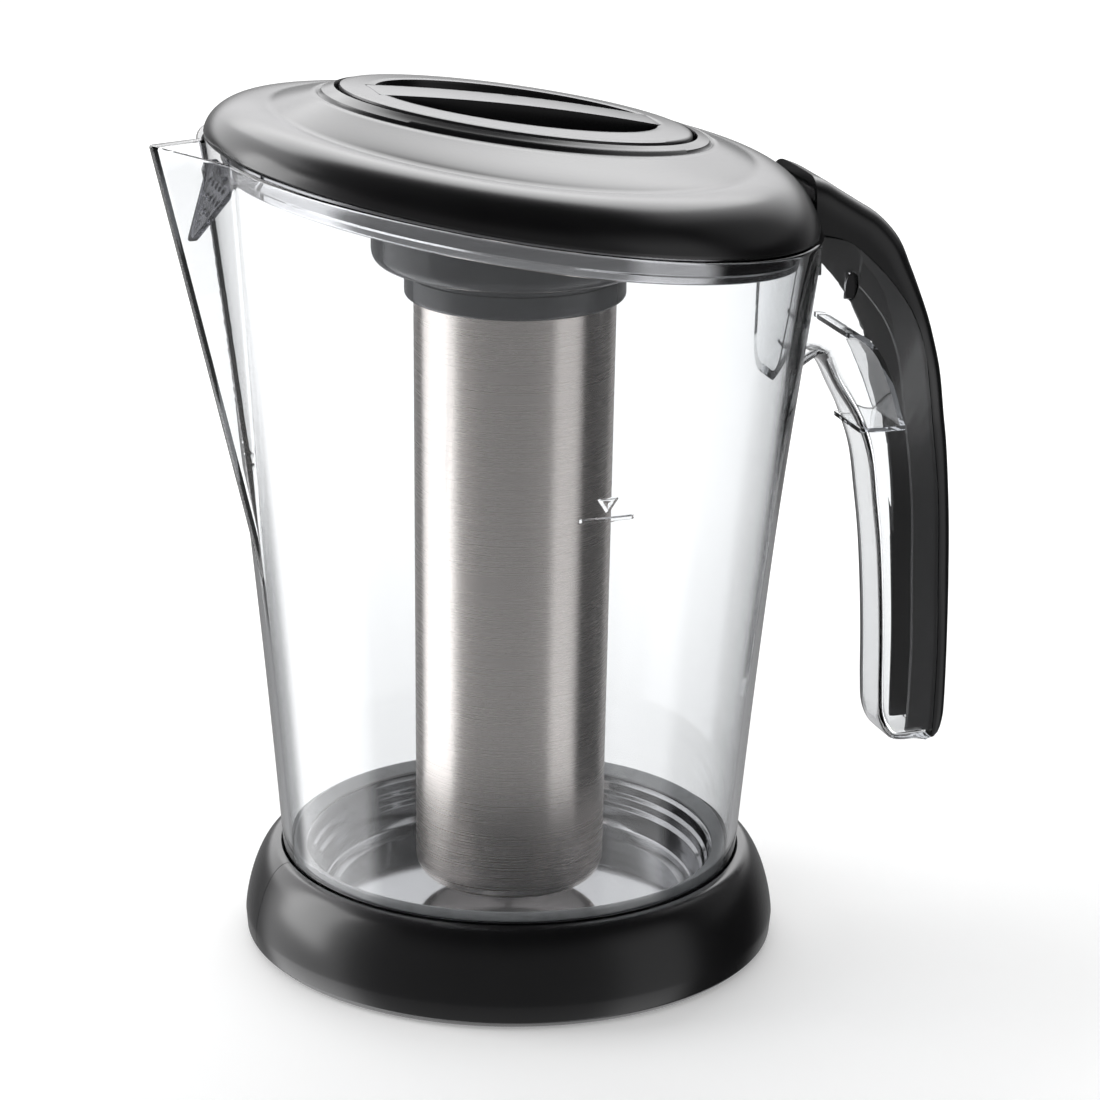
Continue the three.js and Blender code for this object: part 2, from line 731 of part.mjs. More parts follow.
// The upright space that the lid needs when it is lifted past the handle
function lidPassage() {
  const radius = lidEdgeRadius + lidBulge + seatGap * 2;
  return pillar(radius, rimPlaneZ(lidEdgeRadius + overrun), handleTopZ + overrun, lidShift, 0);
}

// Lid: turned profiles in heights above the rim plane, squeezed to an oval near the plug

function lidSpread(point) {
  const radius = Math.hypot(point.x, point.y);
  const start = openingRadius + lidSkin;
  const outward = THREE.MathUtils.clamp((radius - start) / (lidCreaseRadius - start), 0, 1);
  const ahead = radius > 0 ? point.x / radius : 0;
  const lift = lidCreaseRise * ahead - lidCreaseSideDrop * (1 - ahead ** 2);
  const inner = THREE.MathUtils.clamp((radius - openingRadius) / (lidCreaseRadius - openingRadius), 0, 1);
  const aboveBulge = Math.max(point.z - lidBulgeHeight, 0) / (lidCreaseHeight - lidBulgeHeight);
  point.z += lift * (radius > lidCreaseRadius ? aboveBulge : inner);
  point.x += lidShift * outward;
  point.y *= THREE.MathUtils.lerp(plugOvalShare, 1, smoothShare(outward));
  slopeWith(point);
}

// The lid's shoulder from its widest ring up to the crease, or the inside of it a skin deeper
function lidShoulder(skin) {
  const reach = lidEdgeRadius + lidBulge - lidCreaseRadius - skin;
  const rise = lidCreaseHeight - lidBulgeHeight - skin;
  return Array.from({ length: lidShoulderSteps }, (_, i) => {
    const turn = (Math.PI / 2) * (i / lidShoulderSteps);
    return [
      lidCreaseRadius + reach * Math.cos(turn) ** lidShoulderOutPower,
      lidBulgeHeight + rise * Math.sin(turn) ** lidShoulderUpPower,
    ];
  });
}

function lidShell() {
  const slope = (lidTopHeight - lidCreaseHeight) / (lidCreaseRadius - openingRadius);
  const grooveMiddle = openingRadius + lidGrooveOffset;
  const grooveTop = (radius) => lidTopHeight - slope * (radius - openingRadius);
  const underside = seatTopHeight - seatThickness;
  return turned([
    [lidEdgeRadius, seatGap],
    ...lidShoulder(0),
    [lidCreaseRadius, lidCreaseHeight],
    [grooveMiddle + lidGrooveWidth, grooveTop(grooveMiddle + lidGrooveWidth)],
    [grooveMiddle, grooveTop(grooveMiddle) - lidGrooveDepth],
    [grooveMiddle - lidGrooveWidth, grooveTop(grooveMiddle - lidGrooveWidth)],
    [openingRadius, lidTopHeight],
    [openingRadius, seatTopHeight],
    [seatInnerRadius, seatTopHeight],
    [seatInnerRadius, underside],
    [openingRadius + lidSkin, underside],
    [openingRadius + lidSkin, grooveTop(openingRadius + lidSkin) - lidSkin],
    [lidCreaseRadius, lidCreaseHeight - lidSkin],
    ...lidShoulder(lidSkin).reverse(),
    [lidEdgeRadius - lidSkin, seatGap],
  ], roundSteps, lidSpread);
}

function lidScrewHoles() {
  return lidScrewSpots.map(([x, y]) => {
    const bottomZ = rimPlaneZ(x) + seatTopHeight - seatThickness - overrun;
    return pillar(screwRadius + seatGap, bottomZ, lidScrewTopZ(x) + seatGap, x, y, screwSteps);
  });
}

function lidScrewTopZ(x) {
  return lidScrewHeadZ(x) - screwHeadHeight + lidScrewLength;
}

// The level at which a lid screw's head bears on the socket flange
function lidScrewHeadZ(x) {
  return rimPlaneZ(x) + flangeBottomHeight;
}

function lidLiner() {
  const floorHeight = -linerDrop;
  const profile = [
    [0, floorHeight],
    [linerRadius, floorHeight],
    [linerRadius, linerTopHeight],
    [linerRadius - linerSheet, linerTopHeight],
    [linerRadius - linerSheet, floorHeight + linerSheet],
    [0, floorHeight + linerSheet],
  ];
  const hole = pillar(socketRadius + seatGap, 0, rimTopZ);
  return turned(profile, roundSteps, shiftedSlope).subtract(hole);
}

// Tube socket: a drum under the lid's seat with a bayonet groove for the tube's collar

const flangeTopHeight = seatTopHeight - seatThickness - seatGap;
const flangeBottomHeight = flangeTopHeight - socketFlangeThickness;
const bowlBottomHeight = recessFloorHeight - recessFloor;
const pocketFloorHeight = bowlBottomHeight - seatGap;
const boreRadius = collarRadius + seatGap * 2;

function ovalDisc(radius, share, fromHeight, toHeight) {
  return turned([[0, fromHeight], [radius, fromHeight], [radius, toHeight], [0, toHeight]], smallSteps, (point) => {
    point.y *= share;
    slopeWith(point);
  });
}

// An upright block set at an angle about Z, reaching from one radius to another
function spoke(degrees, fromRadius, toRadius, width, fromZ, toZ) {
  const length = toRadius - fromRadius;
  const height = toZ - fromZ;
  const bar = block(length, width, height, fromRadius + length / 2, 0, fromZ + height / 2);
  return bar.rotate([0, 0, degrees]);
}

function tubeSocket() {
  const drum = turned([
    [0, socketBottomZ],
    ...quarterTurn(socketRadius - socketRound, socketBottomZ + socketRound, socketRound, 4, true).reverse(),
    [socketRadius, rimTopZ],
    [0, rimTopZ],
  ], smallSteps * 1.5);
  const flange = ovalDisc(socketFlangeRadius, plugOvalShare, flangeBottomHeight, flangeTopHeight);
  const pocket = ovalDisc(socketPocketRadius, socketPocketOvalShare, pocketFloorHeight, flangeTopHeight + overrun);
  const well = pillar(socketWellRadius, socketShoulderZ - overrun, rimTopZ, 0, 0, smallSteps);
  const bore = pillar(boreRadius, socketBottomZ - overrun, socketShoulderZ, 0, 0, smallSteps);
  const grooveHalf = lugHeight / 2 + lugPlay;
  const grooveRadius = collarRadius + lugReach + lugPlay;
  const groove = pillar(grooveRadius, lugMidZ - grooveHalf, lugMidZ + grooveHalf, 0, 0, smallSteps);
  const slotWidth = lugWidth + lugPlay * 2;
  const slots = lugAngles.map((degrees) => {
    const turn = degrees + twistDegrees;
    return spoke(turn, socketWellRadius, grooveRadius, slotWidth, socketBottomZ - overrun, lugMidZ + grooveHalf);
  });
  const sinks = lidScrewSpots.map(([x, y]) => {
    const topZ = lidScrewHeadZ(x);
    return pillar(screwHeadRadius + seatGap, topZ - overrun, topZ, x, y, screwSteps * 2);
  });
  const full = join(drum.subtract(aboveRim(flangeTopHeight)), flange);
  return cut(full, pocket, well, bore, groove, ...slots, ...sinks, ...lidScrewHoles());
}

function tubeCollar() {
  const innerRadius = tubeTopRadius + seatGap;
  const barrel = turned([
    [innerRadius, collarBottomZ],
    ...quarterTurn(collarRadius - collarRound, collarBottomZ + collarRound, collarRound, 3, true).reverse(),
    [collarRadius, collarTopZ],
    [innerRadius, collarTopZ],
  ], smallSteps * 1.5);
  const lugs = lugAngles.map((degrees) => spoke(
    degrees,
    collarRadius - lugReach / 2,
    collarRadius + lugReach,
    lugWidth,
    lugMidZ - lugHeight / 2,
    lugMidZ + lugHeight / 2,
  ));
  return join(barrel, ...lugs);
}

function iceTube() {
  const flangeZ = collarTopZ + seatGap;
  const flangeTopZ = flangeZ + tubeSheet;
  const cornerZ = tubeBottomZ + tubeCorner;
  const footCentre = tubeFootRadius - tubeCorner;
  const outer = quarterTurn(footCentre, cornerZ, tubeCorner, 5, true).reverse();
  const inner = quarterTurn(footCentre, cornerZ, tubeCorner - tubeSheet, 5, true);
  return turned([
    [0, tubeBottomZ],
    ...outer,
    [tubeTopRadius, collarBottomZ],
    [tubeTopRadius, flangeZ],
    [tubeTopRadius + tubeFlangeReach, flangeZ],
    [tubeTopRadius + tubeFlangeReach, flangeTopZ],
    [tubeTopRadius - tubeSheet, flangeTopZ],
    [tubeTopRadius - tubeSheet, collarBottomZ],
    ...inner,
    [0, tubeBottomZ + tubeSheet],
  ], smallSteps * 1.5);
}

function tubeSeal() {
  const bottomZ = collarTopZ + seatGap * 2 + tubeSheet;
  const topZ = socketShoulderZ - seatGap;
  const outerRadius = tubeTopRadius + tubeFlangeReach;
  const innerRadius = socketWellRadius + seatGap;
  return turned([
    [innerRadius, bottomZ],
    [outerRadius, bottomZ],
    [outerRadius, topZ],
    [innerRadius, topZ],
  ], smallSteps);
}

// Strainer tongue: drawn upright in Y and Z, then leaned along the mouth of the spout

function strainerOutline(inset) {
  const half = strainerHalfWidth - inset;
  const tipHalf = Math.max(strainerTipRound - inset, strainerTipRound / 3);
  const top = strainerTopZ - inset;
  const tip = strainerTipZ + inset;
  const shape = new THREE.Shape();
  shape.moveTo(-half, top);
  shape.lineTo(-tipHalf, tip + tipHalf / 2);
  shape.lineTo(-tipHalf / 2, tip);
  shape.lineTo(tipHalf / 2, tip);
  shape.lineTo(tipHalf, tip + tipHalf / 2);
  shape.lineTo(half, top);
  return shape;
}

function strainerPlate(shape, thickness) {
  return planPrism(shape, -thickness / 2, thickness / 2, strainerHoleSteps / 2, (point) => {
    const [side, height, off] = point.toArray();
    const share = (strainerTopZ - height) / (strainerTopZ - strainerTipZ);
    point.set(THREE.MathUtils.lerp(strainerTopX, strainerTipX, share) + off, side, height);
  });
}

function strainer() {
  const sheet = strainerOutline(strainerFrame / 2);
  const rows = Math.floor((strainerTopZ - strainerTipZ) / strainerHolePitch);
  for (let row = 1; row < rows; row += 1) {
    const height = strainerTopZ - strainerFrame - row * strainerHolePitch + strainerHolePitch / 3;
    const share = (strainerTopZ - height) / (strainerTopZ - strainerTipZ);
    const reach = strainerHalfWidth * (1 - share) - strainerFrame;
    const across = Math.floor(reach / strainerHolePitch);
    for (let k = -across; k <= across; k += 1) {
      const hole = new THREE.Path();
      const stretch = strainerHoleRadius * strainerHoleStretch;
      hole.absellipse(k * strainerHolePitch, height, stretch, strainerHoleRadius, 0, Math.PI * 2);
      sheet.holes.push(hole);
    }
  }
  const frame = strainerOutline(0);
  frame.holes.push(strainerOutline(strainerFrame));
  const reach = -strainerTopX - (linerRadius - lidShift) - seatGap * 2;
  const tabX = strainerTopX + (reach - strainerFrameThickness) / 2;
  const tabZ = strainerTopZ - strainerTabHeight / 2;
  const tab = block(reach + strainerFrameThickness, strainerTabWidth, strainerTabHeight, tabX, 0, tabZ);
  const tongue = join(strainerPlate(sheet, strainerThickness), strainerPlate(frame, strainerFrameThickness), tab);
  return cut(tongue, spoutKeepOut());
}

// Leaves a small gap between the tongue and the inside of the spout
function spoutKeepOut() {
  const span = baseRadius * 4;
  const around = block(span, span, rimTopZ, 0, 0, rimTopZ);
  return around.subtract(join(spoutWedge(clearWall + seatGap), wallCore(-clearWall - seatGap, ledgeTopZ)));
}

// Plug: an oval cap with two finger recesses left and right of a grip bar, and a stopper in the tube

const plugRadius = openingRadius - plugGap;
const plugEdgeHeight = lidTopHeight + plugProud;
const plugBottomHeight = seatTopHeight + seatGap;
const bowlRadius = recessRadius + recessWall;

function plugSpread(point) {
  const radius = Math.hypot(point.x, point.y);
  const share = THREE.MathUtils.clamp((radius - bowlRadius) / (plugRadius - bowlRadius), 0, 1);
  point.y *= THREE.MathUtils.lerp(recessOvalShare, plugOvalShare, share);
  slopeWith(point);
}

function plugDome(radius) {
  return plugEdgeHeight + plugCrown * (1 - (radius / plugRadius) ** 2);
}

function barBlock(gap) {
  const barStart = barStartInset - openingRadius;
  const barEnd = openingRadius - barEndInset;
  const bottom = plugDome(0) - barThickness - gap;
  const length = barEnd - barStart + gap * 2;
  const middle = (barEnd + barStart) / 2;
  return block(length, barWidth + gap * 2, overrun * 2, middle, 0, bottom + overrun, slopeWith);
}

function plugCap() {
  const cap = turned([
    [0, bowlBottomHeight],
    [bowlRadius - recessDraft, bowlBottomHeight],
    [bowlRadius, bowlBottomHeight + recessFloor],
    [bowlRadius, plugBottomHeight],
    [plugRadius, plugBottomHeight],
    [plugRadius, plugEdgeHeight - plugProud],
    [plugRadius - plugProud, plugEdgeHeight],
    [recessRadius + recessDraft, plugDome(recessRadius)],
    [recessRadius, plugDome(recessRadius) - recessDraft],
    [recessRadius - recessDraft, recessFloorHeight + recessDraft],
    [recessRadius - recessDraft * 2, recessFloorHeight],
    [0, recessFloorHeight],
  ], roundSteps, plugSpread);
  return cap.subtract(barBlock(seatGap));
}

function gripBar() {
  const domeSteps = 6;
  const dome = Array.from({ length: domeSteps }, (_, i) => {
    const radius = (bowlRadius + recessDraft) * (1 - i / domeSteps);
    return [radius, plugDome(radius)];
  });
  const rimStart = [[0, 0], [bowlRadius + recessDraft, 0]];
  return turned([...rimStart, ...dome, [0, plugDome(0)]], roundSteps, plugSpread).intersect(barBlock(0));
}

function plugStopper() {
  const cornerZ = stopperBottomZ + stopperWall;
  const inner = stopperRadius - stopperWall;
  const cup = turned([
    [0, stopperBottomZ],
    [stopperRadius - stopperWall / 2, stopperBottomZ],
    [stopperRadius, cornerZ],
    [stopperRadius, rimTopZ],
    [inner, rimTopZ],
    [inner, cornerZ],
    [0, cornerZ],
  ], smallSteps);
  return cup.subtract(aboveRim(bowlBottomHeight - seatGap));
}

function plugGasket() {
  const bottomZ = stopperBottomZ + stopperWall;
  const innerRadius = stopperRadius + seatGap;
  return turned([
    [innerRadius, bottomZ],
    [stopperRadius + gasketReach / 2, bottomZ],
    [stopperRadius + gasketReach, bottomZ + gasketHeight / 2],
    [stopperRadius + gasketReach / 2, bottomZ + gasketHeight],
    [innerRadius, bottomZ + gasketHeight],
  ], smallSteps);
}

// The pieces, grouped as they come apart

function addPiece(group, name, solid, finish) {
  const mesh = new THREE.Mesh(geometryOf(solid), new THREE.MeshStandardMaterial(finishes[finish]));
  mesh.name = name;
  group.add(mesh);
}

function addGroup(parent, name) {
  const group = new THREE.Group();
  group.name = name;
  parent.add(group);
  return group;
}

const product = new THREE.Group();
product.name = 'lidded_jug';

const jug = addGroup(product, 'jug');
addPiece(jug, 'jug_body', jugBody(), 'clear');
addPiece(jug, 'handle_channel', handleChannel(), 'clear');
addPiece(jug, 'handle_cover', handleCover(), 'blackSatin');
addPiece(jug, 'floor_dish', floorDish(), 'mirrorSteel');
addPiece(jug, 'floor_seal', floorSeal(), 'silicone');
const wholeBase = baseRing();
addPiece(jug, 'base_shell_near', baseHalf(wholeBase, -1), 'blackSatin');
addPiece(jug, 'base_shell_far', baseHalf(wholeBase, 1), 'blackSatin');
addPiece(jug, 'base_plate', basePlate(), 'blackSatin');
bossSpots().forEach(([x, y], i) => {
  addPiece(jug, `base_screw_${i + 1}`, screw(baseScrewLength, x, y, seatGap), 'zincSteel');
});

const lid = addGroup(product, 'lid');
addPiece(lid, 'lid_shell', cut(lidShell(), ...lidScrewHoles()), 'blackSatin');
addPiece(lid, 'lid_liner', lidLiner(), 'mirrorSteel');
addPiece(lid, 'tube_socket', tubeSocket(), 'darkGloss');
addPiece(lid, 'spout_strainer', strainer(), 'smokeClear');
lidScrewSpots.forEach(([x, y], i) => {
  const z = lidScrewHeadZ(x) - screwHeadHeight;
  addPiece(lid, `lid_screw_${i + 1}`, screw(lidScrewLength, x, y, z - seatGap), 'zincSteel');
});

const tube = addGroup(lid, 'tube');
addPiece(tube, 'tube_collar', tubeCollar(), 'darkGloss');
addPiece(tube, 'ice_tube', iceTube(), 'steel');
addPiece(tube, 'tube_seal', tubeSeal(), 'silicone');

const plug = addGroup(lid, 'plug');
addPiece(plug, 'plug_cap', plugCap(), 'blackSatin');
addPiece(plug, 'grip_bar', gripBar(), 'blackSatin');
addPiece(plug, 'plug_stopper', plugStopper(), 'darkGloss');
addPiece(plug, 'plug_gasket', plugGasket(), 'silicone');

export default product;
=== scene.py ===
"""Lidded jug with a cooling tube: detailed pieces, finishes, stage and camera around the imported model.

Shapes are worked out in millimetres and written in metres. +Z is up, the spout points along -X and the
handle along +X. Heights in the lid are counted from the sloping plane of the jug's rim.
"""

import math

import bmesh
import bpy
import numpy as np
from mathutils import Matrix, Vector


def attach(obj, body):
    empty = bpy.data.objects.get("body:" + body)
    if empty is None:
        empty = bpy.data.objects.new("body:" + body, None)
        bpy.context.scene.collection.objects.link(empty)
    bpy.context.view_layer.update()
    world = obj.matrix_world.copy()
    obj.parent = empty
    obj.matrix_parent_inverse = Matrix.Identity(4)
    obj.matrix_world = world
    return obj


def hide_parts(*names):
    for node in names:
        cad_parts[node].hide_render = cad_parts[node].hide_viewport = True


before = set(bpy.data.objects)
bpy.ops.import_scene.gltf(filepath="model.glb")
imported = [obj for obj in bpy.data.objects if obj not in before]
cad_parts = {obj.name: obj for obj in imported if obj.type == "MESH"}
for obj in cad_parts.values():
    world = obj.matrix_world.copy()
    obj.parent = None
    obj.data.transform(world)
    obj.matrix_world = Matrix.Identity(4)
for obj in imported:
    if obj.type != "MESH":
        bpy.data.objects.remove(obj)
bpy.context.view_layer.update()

bl_info = {
    "name": "Lidded jug",
    "version": (1, 0, 0),
    "blender": (4, 5, 0),
    "location": "3D View > Sidebar > Jug",
    "description": "Builds the pieces, finishes and stage of a clear jug with a cooling tube in its lid",
    "category": "Add Mesh",
}

MM = 0.001

# Sizes that the pieces share, as the solids have them
BASE_RADIUS = 90.0
BASE_HEIGHT = 32.0
FOOT_RADIUS = 77.2
RIM_HEIGHT = 261.0
RIM_RADIUS = 101.8
RIM_SLOPE = math.tan(math.radians(9.44))
WALL_BOW = 0.22
ROOT_SWELL = 2.2
ROOT_SWELL_ANGLE = math.radians(44)
SWELL_SHARES = (0.52, 0.9)
SPOUT_TIP = RIM_RADIUS + 21.1
SPOUT_ROOT_Z = 132.0
SPOUT_HALF_ANGLE = math.radians(44)
SPOUT_ROUND = 2.5
SPOUT_INNER_ROUND = 0.5
SPOUT_BLEND = 1.6
FOOT_BOTTOM_Z = 24.0
LEDGE_TOP_Z = 30.6
LEDGE_RADIUS = 70.5
RIM_TOP_Z = RIM_HEIGHT + RIM_SLOPE * SPOUT_TIP
GAP = 0.3
FLOOR_REACH = 6000.0
TURN_STEPS = 192
LID_SHIFT = -1.1
OPENING_RADIUS = 60.2
PLUG_OVAL = 0.765
LID_EDGE_RADIUS = 100.6
LID_EDGE_HEIGHT = 1.6
CREASE_RADIUS = 79.5
CREASE_HEIGHT = 16.9
CREASE_RISE = 2.8
CREASE_SIDE_DROP = 1.35
SHOULDER_OUT_POWER = 0.833
SHOULDER_UP_POWER = 1.256
LID_TOP = 24.5
SEAT_TOP = 17.0
SEAT_BOTTOM = 13.0


# Plain shape tools


def add_object(name, points, faces):
    """A linked mesh object from points in millimetres, welded and facing outwards."""
    mesh = bpy.data.meshes.new(name)
    mesh.from_pydata((np.asarray(points, float) * MM).tolist(), [], faces)
    form = bmesh.new()
    form.from_mesh(mesh)
    bmesh.ops.remove_doubles(form, verts=form.verts, dist=0.002 * MM)
    bmesh.ops.dissolve_degenerate(form, edges=form.edges, dist=0.001 * MM)
    bmesh.ops.recalc_face_normals(form, faces=form.faces)
    form.to_mesh(mesh)
    form.free()
    piece = bpy.data.objects.new(name, mesh)
    bpy.context.scene.collection.objects.link(piece)
    return piece


def grid_faces(rows, columns, wrap_rows=False, wrap_columns=False):
    """Quads over a grid of points that is numbered row by row."""
    faces = []
    for i in range(rows if wrap_rows else rows - 1):
        for j in range(columns if wrap_columns else columns - 1):
            a, b = i * columns + j, i * columns + (j + 1) % columns
            low = ((i + 1) % rows) * columns
            faces.append((a, b, low + (j + 1) % columns, low + j))
    return faces


def around_axis(radius, angle, height):
    """Points about Z, by their distances, angles and heights."""
    return np.stack([radius * np.cos(angle), radius * np.sin(angle), height + 0 * angle], axis=1)


def end_faces(rows, columns):
    """The flat ends of a grid whose rows are closed sections."""
    last = (rows - 1) * columns
    return [tuple(range(columns)), tuple(range(last, last + columns))]


def lofted(name, rows):
    """A solid through closed sections with the same number of points."""
    rows = np.asarray(rows, float)
    count, around = rows.shape[:2]
    faces = grid_faces(count, around, False, True) + end_faces(count, around)
    return add_object(name, rows.reshape(-1, 3), faces)


def rounded(points, radii, steps=5):
    """A closed outline with arcs for corners. One radius for each point, 0 for a sharp corner."""
    points = [np.array(p, float) for p in points]
    made = []
    for i, (corner, radius) in enumerate(zip(points, radii)):
        before, after = points[i - 1] - corner, points[(i + 1) % len(points)] - corner
        length = min(np.linalg.norm(before), np.linalg.norm(after))
        if radius <= 0 or length < 1e-6:
            made.append(corner)
            continue
        before, after = before / np.linalg.norm(before), after / np.linalg.norm(after)
        half = math.acos(float(np.clip(before @ after, -1, 1))) / 2
        reach = min(radius / math.tan(max(half, 1e-3)), length * 0.49)
        start, end = corner + before * reach, corner + after * reach
        for k in range(steps + 1):
            t = k / steps
            made.append((1 - t) ** 2 * start + 2 * t * (1 - t) * corner + t * t * end)
    return np.array(made)


def soften(points, steps):
    """An open line through points, curved the way a thin batten bends."""
    points = np.array(points, float)
    last = len(points) - 1
    made = []
    for share in np.linspace(0, last, steps):
        i = min(int(share), last - 1)
        t = share - i
        p0, p1, p2, p3 = (points[min(max(i + k, 0), last)] for k in (-1, 0, 1, 2))
        v1, v2 = (p2 - p0) / 2, (p3 - p1) / 2
        made.append(
            (2 * p1 - 2 * p2 + v1 + v2) * t**3 + (-3 * p1 + 3 * p2 - 2 * v1 - v2) * t**2 + v1 * t + p1
        )
    return np.array(made)


def turned(name, profile, steps=TURN_STEPS, move=None, half=0):
    """A turned solid about Z from a closed profile of (radius, height). half is -1 or 1 for one side of Y."""
    profile = np.asarray(profile, float)
    angles = np.linspace(0, math.tau, steps, endpoint=False)
    if half:
        angles = np.linspace(0, math.pi * half, steps // 2 + 1)
    radius, height = profile[:, 0], profile[:, 1]
    x = np.cos(angles)[:, None] * radius
    y = np.sin(angles)[:, None] * radius
    z = np.broadcast_to(height, x.shape)
    points = np.stack([x, y, z], axis=2).reshape(-1, 3)
    faces = grid_faces(len(angles), len(profile), not half, True)
    if half:
        points[:, 1] = half * np.maximum(points[:, 1] * half, GAP / 2)
        faces += end_faces(len(angles), len(profile))
    return add_object(name, move(points) if move else points, faces)


def pillar(radius, low, high, steps=96, move=None):
    return turned("pillar", [(0, low), (radius, low), (radius, high), (0, high)], steps, move)


def box(name, size, middle, turn=0.0, move=None):
    """A block of a size about a middle, turned about Z by an angle in degrees."""
    signs = np.array([(a, b, c) for a in (-1, 1) for b in (-1, 1) for c in (-1, 1)], float)
    points = signs * np.array(size) / 2 + np.array(middle)
    angle = math.radians(turn)
    x = points[:, 0] * math.cos(angle) - points[:, 1] * math.sin(angle)
    y = points[:, 0] * math.sin(angle) + points[:, 1] * math.cos(angle)
    points = np.stack([x, y, points[:, 2]], axis=1)
    faces = [(0, 1, 3, 2), (4, 6, 7, 5), (0, 4, 5, 1), (2, 3, 7, 6), (0, 2, 6, 4), (1, 5, 7, 3)]
    return add_object(name, move(points) if move else points, faces)


def settle(piece):
    """Applies a piece's modifiers to its mesh."""
    graph = bpy.context.evaluated_depsgraph_get()
    made = bpy.data.meshes.new_from_object(piece.evaluated_get(graph))
    old = piece.data
    piece.modifiers.clear()
    piece.data = made
    bpy.data.meshes.remove(old)
    return piece


def shape(piece, operation, *tools):
    """Joins, cuts or trims a piece with others, which are used up."""
    for tool in tools:
        step = piece.modifiers.new("Shape", "BOOLEAN")
        step.operation = operation
        step.solver = "MANIFOLD"
        step.object = tool
    settle(piece)
    for tool in tools:
        mesh = tool.data
        bpy.data.objects.remove(tool)
        bpy.data.meshes.remove(mesh)
    if not len(piece.data.polygons):
        raise RuntimeError(f"{piece.name} has no faces left after it was shaped")
    return piece


def bevelled(piece, width, segments=2, angle=30):
    """Rounds a piece's hard edges by a width in millimetres."""
    step = piece.modifiers.new("Round", "BEVEL")
    step.width = width * MM
    step.segments = segments
    step.limit_method = "ANGLE"
    step.angle_limit = math.radians(angle)
    step.miter_outer = "MITER_ARC"
    return settle(piece)


def smooth_share(value):
    t = np.clip(value, 0, 1)
    return t * t * (3 - 2 * t)


# The clear wall and the rim plane


def wall_radius(z):
    share = np.maximum((z - BASE_HEIGHT) / (RIM_HEIGHT - BASE_HEIGHT), 0)
    return FOOT_RADIUS + (RIM_RADIUS - FOOT_RADIUS) * ((1 - WALL_BOW) * share + WALL_BOW * share**2)


def root_swell(angle, z):
    """How much thicker the wall is where the handle grows out of it."""
    rise = (z / RIM_HEIGHT - SWELL_SHARES[0]) / (SWELL_SHARES[1] - SWELL_SHARES[0])
    aside = np.abs(np.arctan2(np.sin(angle), np.cos(angle))) / ROOT_SWELL_ANGLE
    return ROOT_SWELL * smooth_share(rise) * smooth_share(1 - aside)


def rim_plane(x):
    return RIM_HEIGHT - RIM_SLOPE * x


def slope(points):
    """Lays points whose heights are counted from the rim plane on that plane."""
    points[:, 2] += rim_plane(points[:, 0])
    return points


def above_rim(raised):
    span = BASE_RADIUS * 4
    return box("above", (span, span, span), (0, 0, raised + span / 2), move=slope)


# Finishes


def with_values(node, **values):
    """Sets a node's inputs by name, with an underscore for each space."""
    for name, value in values.items():
        node.inputs[name.replace("_", " ")].default_value = value
    return node


def add_node(tree, kind, **values):
    return with_values(tree.nodes.new("ShaderNode" + kind), **values)


def new_finish(name):
    """A material with its node tree, its principled shader and its output."""
    material = bpy.data.materials.new(name)
    material.use_nodes = True
    tree = material.node_tree
    return material, tree, tree.nodes["Principled BSDF"], tree.nodes["Material Output"]


def stretched_noise(tree, stretch, scale, detail=4.0):
    """Noise in the object's own place, squeezed or drawn out along the axes."""
    mapping = add_node(tree, "Mapping", Scale=stretch)
    noise = add_node(tree, "TexNoise", Scale=scale, Detail=detail)
    tree.links.new(add_node(tree, "TexCoord").outputs["Object"], mapping.inputs["Vector"])
    tree.links.new(mapping.outputs["Vector"], noise.inputs["Vector"])
    return noise.outputs["Fac"]


def ranged(tree, socket, low, high, from_low=0.3, from_high=0.7):
    """A value spread between two limits."""
    spread = add_node(tree, "MapRange", From_Min=from_low, From_Max=from_high, To_Min=low, To_Max=high)
    tree.links.new(socket, spread.inputs["Value"])
    return spread.outputs["Result"]


def math_node(tree, operation, first, second):
    """One operation on two values, each a socket or a number."""
    node = add_node(tree, "Math")
    node.operation = operation
    for socket, value in zip(node.inputs, (first, second)):
        if isinstance(value, (int, float)):
            socket.default_value = value
        else:
            tree.links.new(value, socket)
    return node.outputs[0]


def mixed(tree, share, first, second):
    mix = add_node(tree, "MixShader")
    for socket, value in zip(mix.inputs, (share, first, second)):
        tree.links.new(value, socket)
    return mix.outputs["Shader"]


def two_tones(tree, socket, low, high):
    """A colour between two, by a value."""
    ramp = add_node(tree, "ValToRGB")
    for element, position, colour in zip(ramp.color_ramp.elements, (0.35, 0.65), (low, high)):
        element.position = position
        element.color = (*colour, 1)
    tree.links.new(socket, ramp.inputs["Fac"])
    return ramp.outputs["Color"]


def bump(tree, shader, noise, strength, distance):
    node = add_node(tree, "Bump", Strength=strength, Distance=distance)
    tree.links.new(noise, node.inputs["Height"])
    tree.links.new(node.outputs["Normal"], shader.inputs["Normal"])


def vary(tree, shader, tones, dullness, relief):
    """Lets noises vary a shader's colour and roughness, each between two limits, and its relief."""
    tree.links.new(two_tones(tree, *tones), shader.inputs["Base Color"])
    tree.links.new(ranged(tree, *dullness), shader.inputs["Roughness"])
    bump(tree, shader, *relief)


def satin_finish(name, colour, roughness, grain):
    """Moulded plastic with a fine spark-eroded grain and faint handling marks."""
    material, tree, shader, _ = new_finish(name)
    with_values(shader, IOR=1.5)
    marks = stretched_noise(tree, (1, 1, 1), 34)
    fine = stretched_noise(tree, (1, 1, 1), 2600, 2)
    lighter = [c * 1.2 + 0.0005 for c in colour]
    dullness = (marks, roughness - 0.01, roughness + 0.015)
    vary(tree, shader, (marks, colour, lighter), dullness, (fine, grain, 0.00004))
    return material


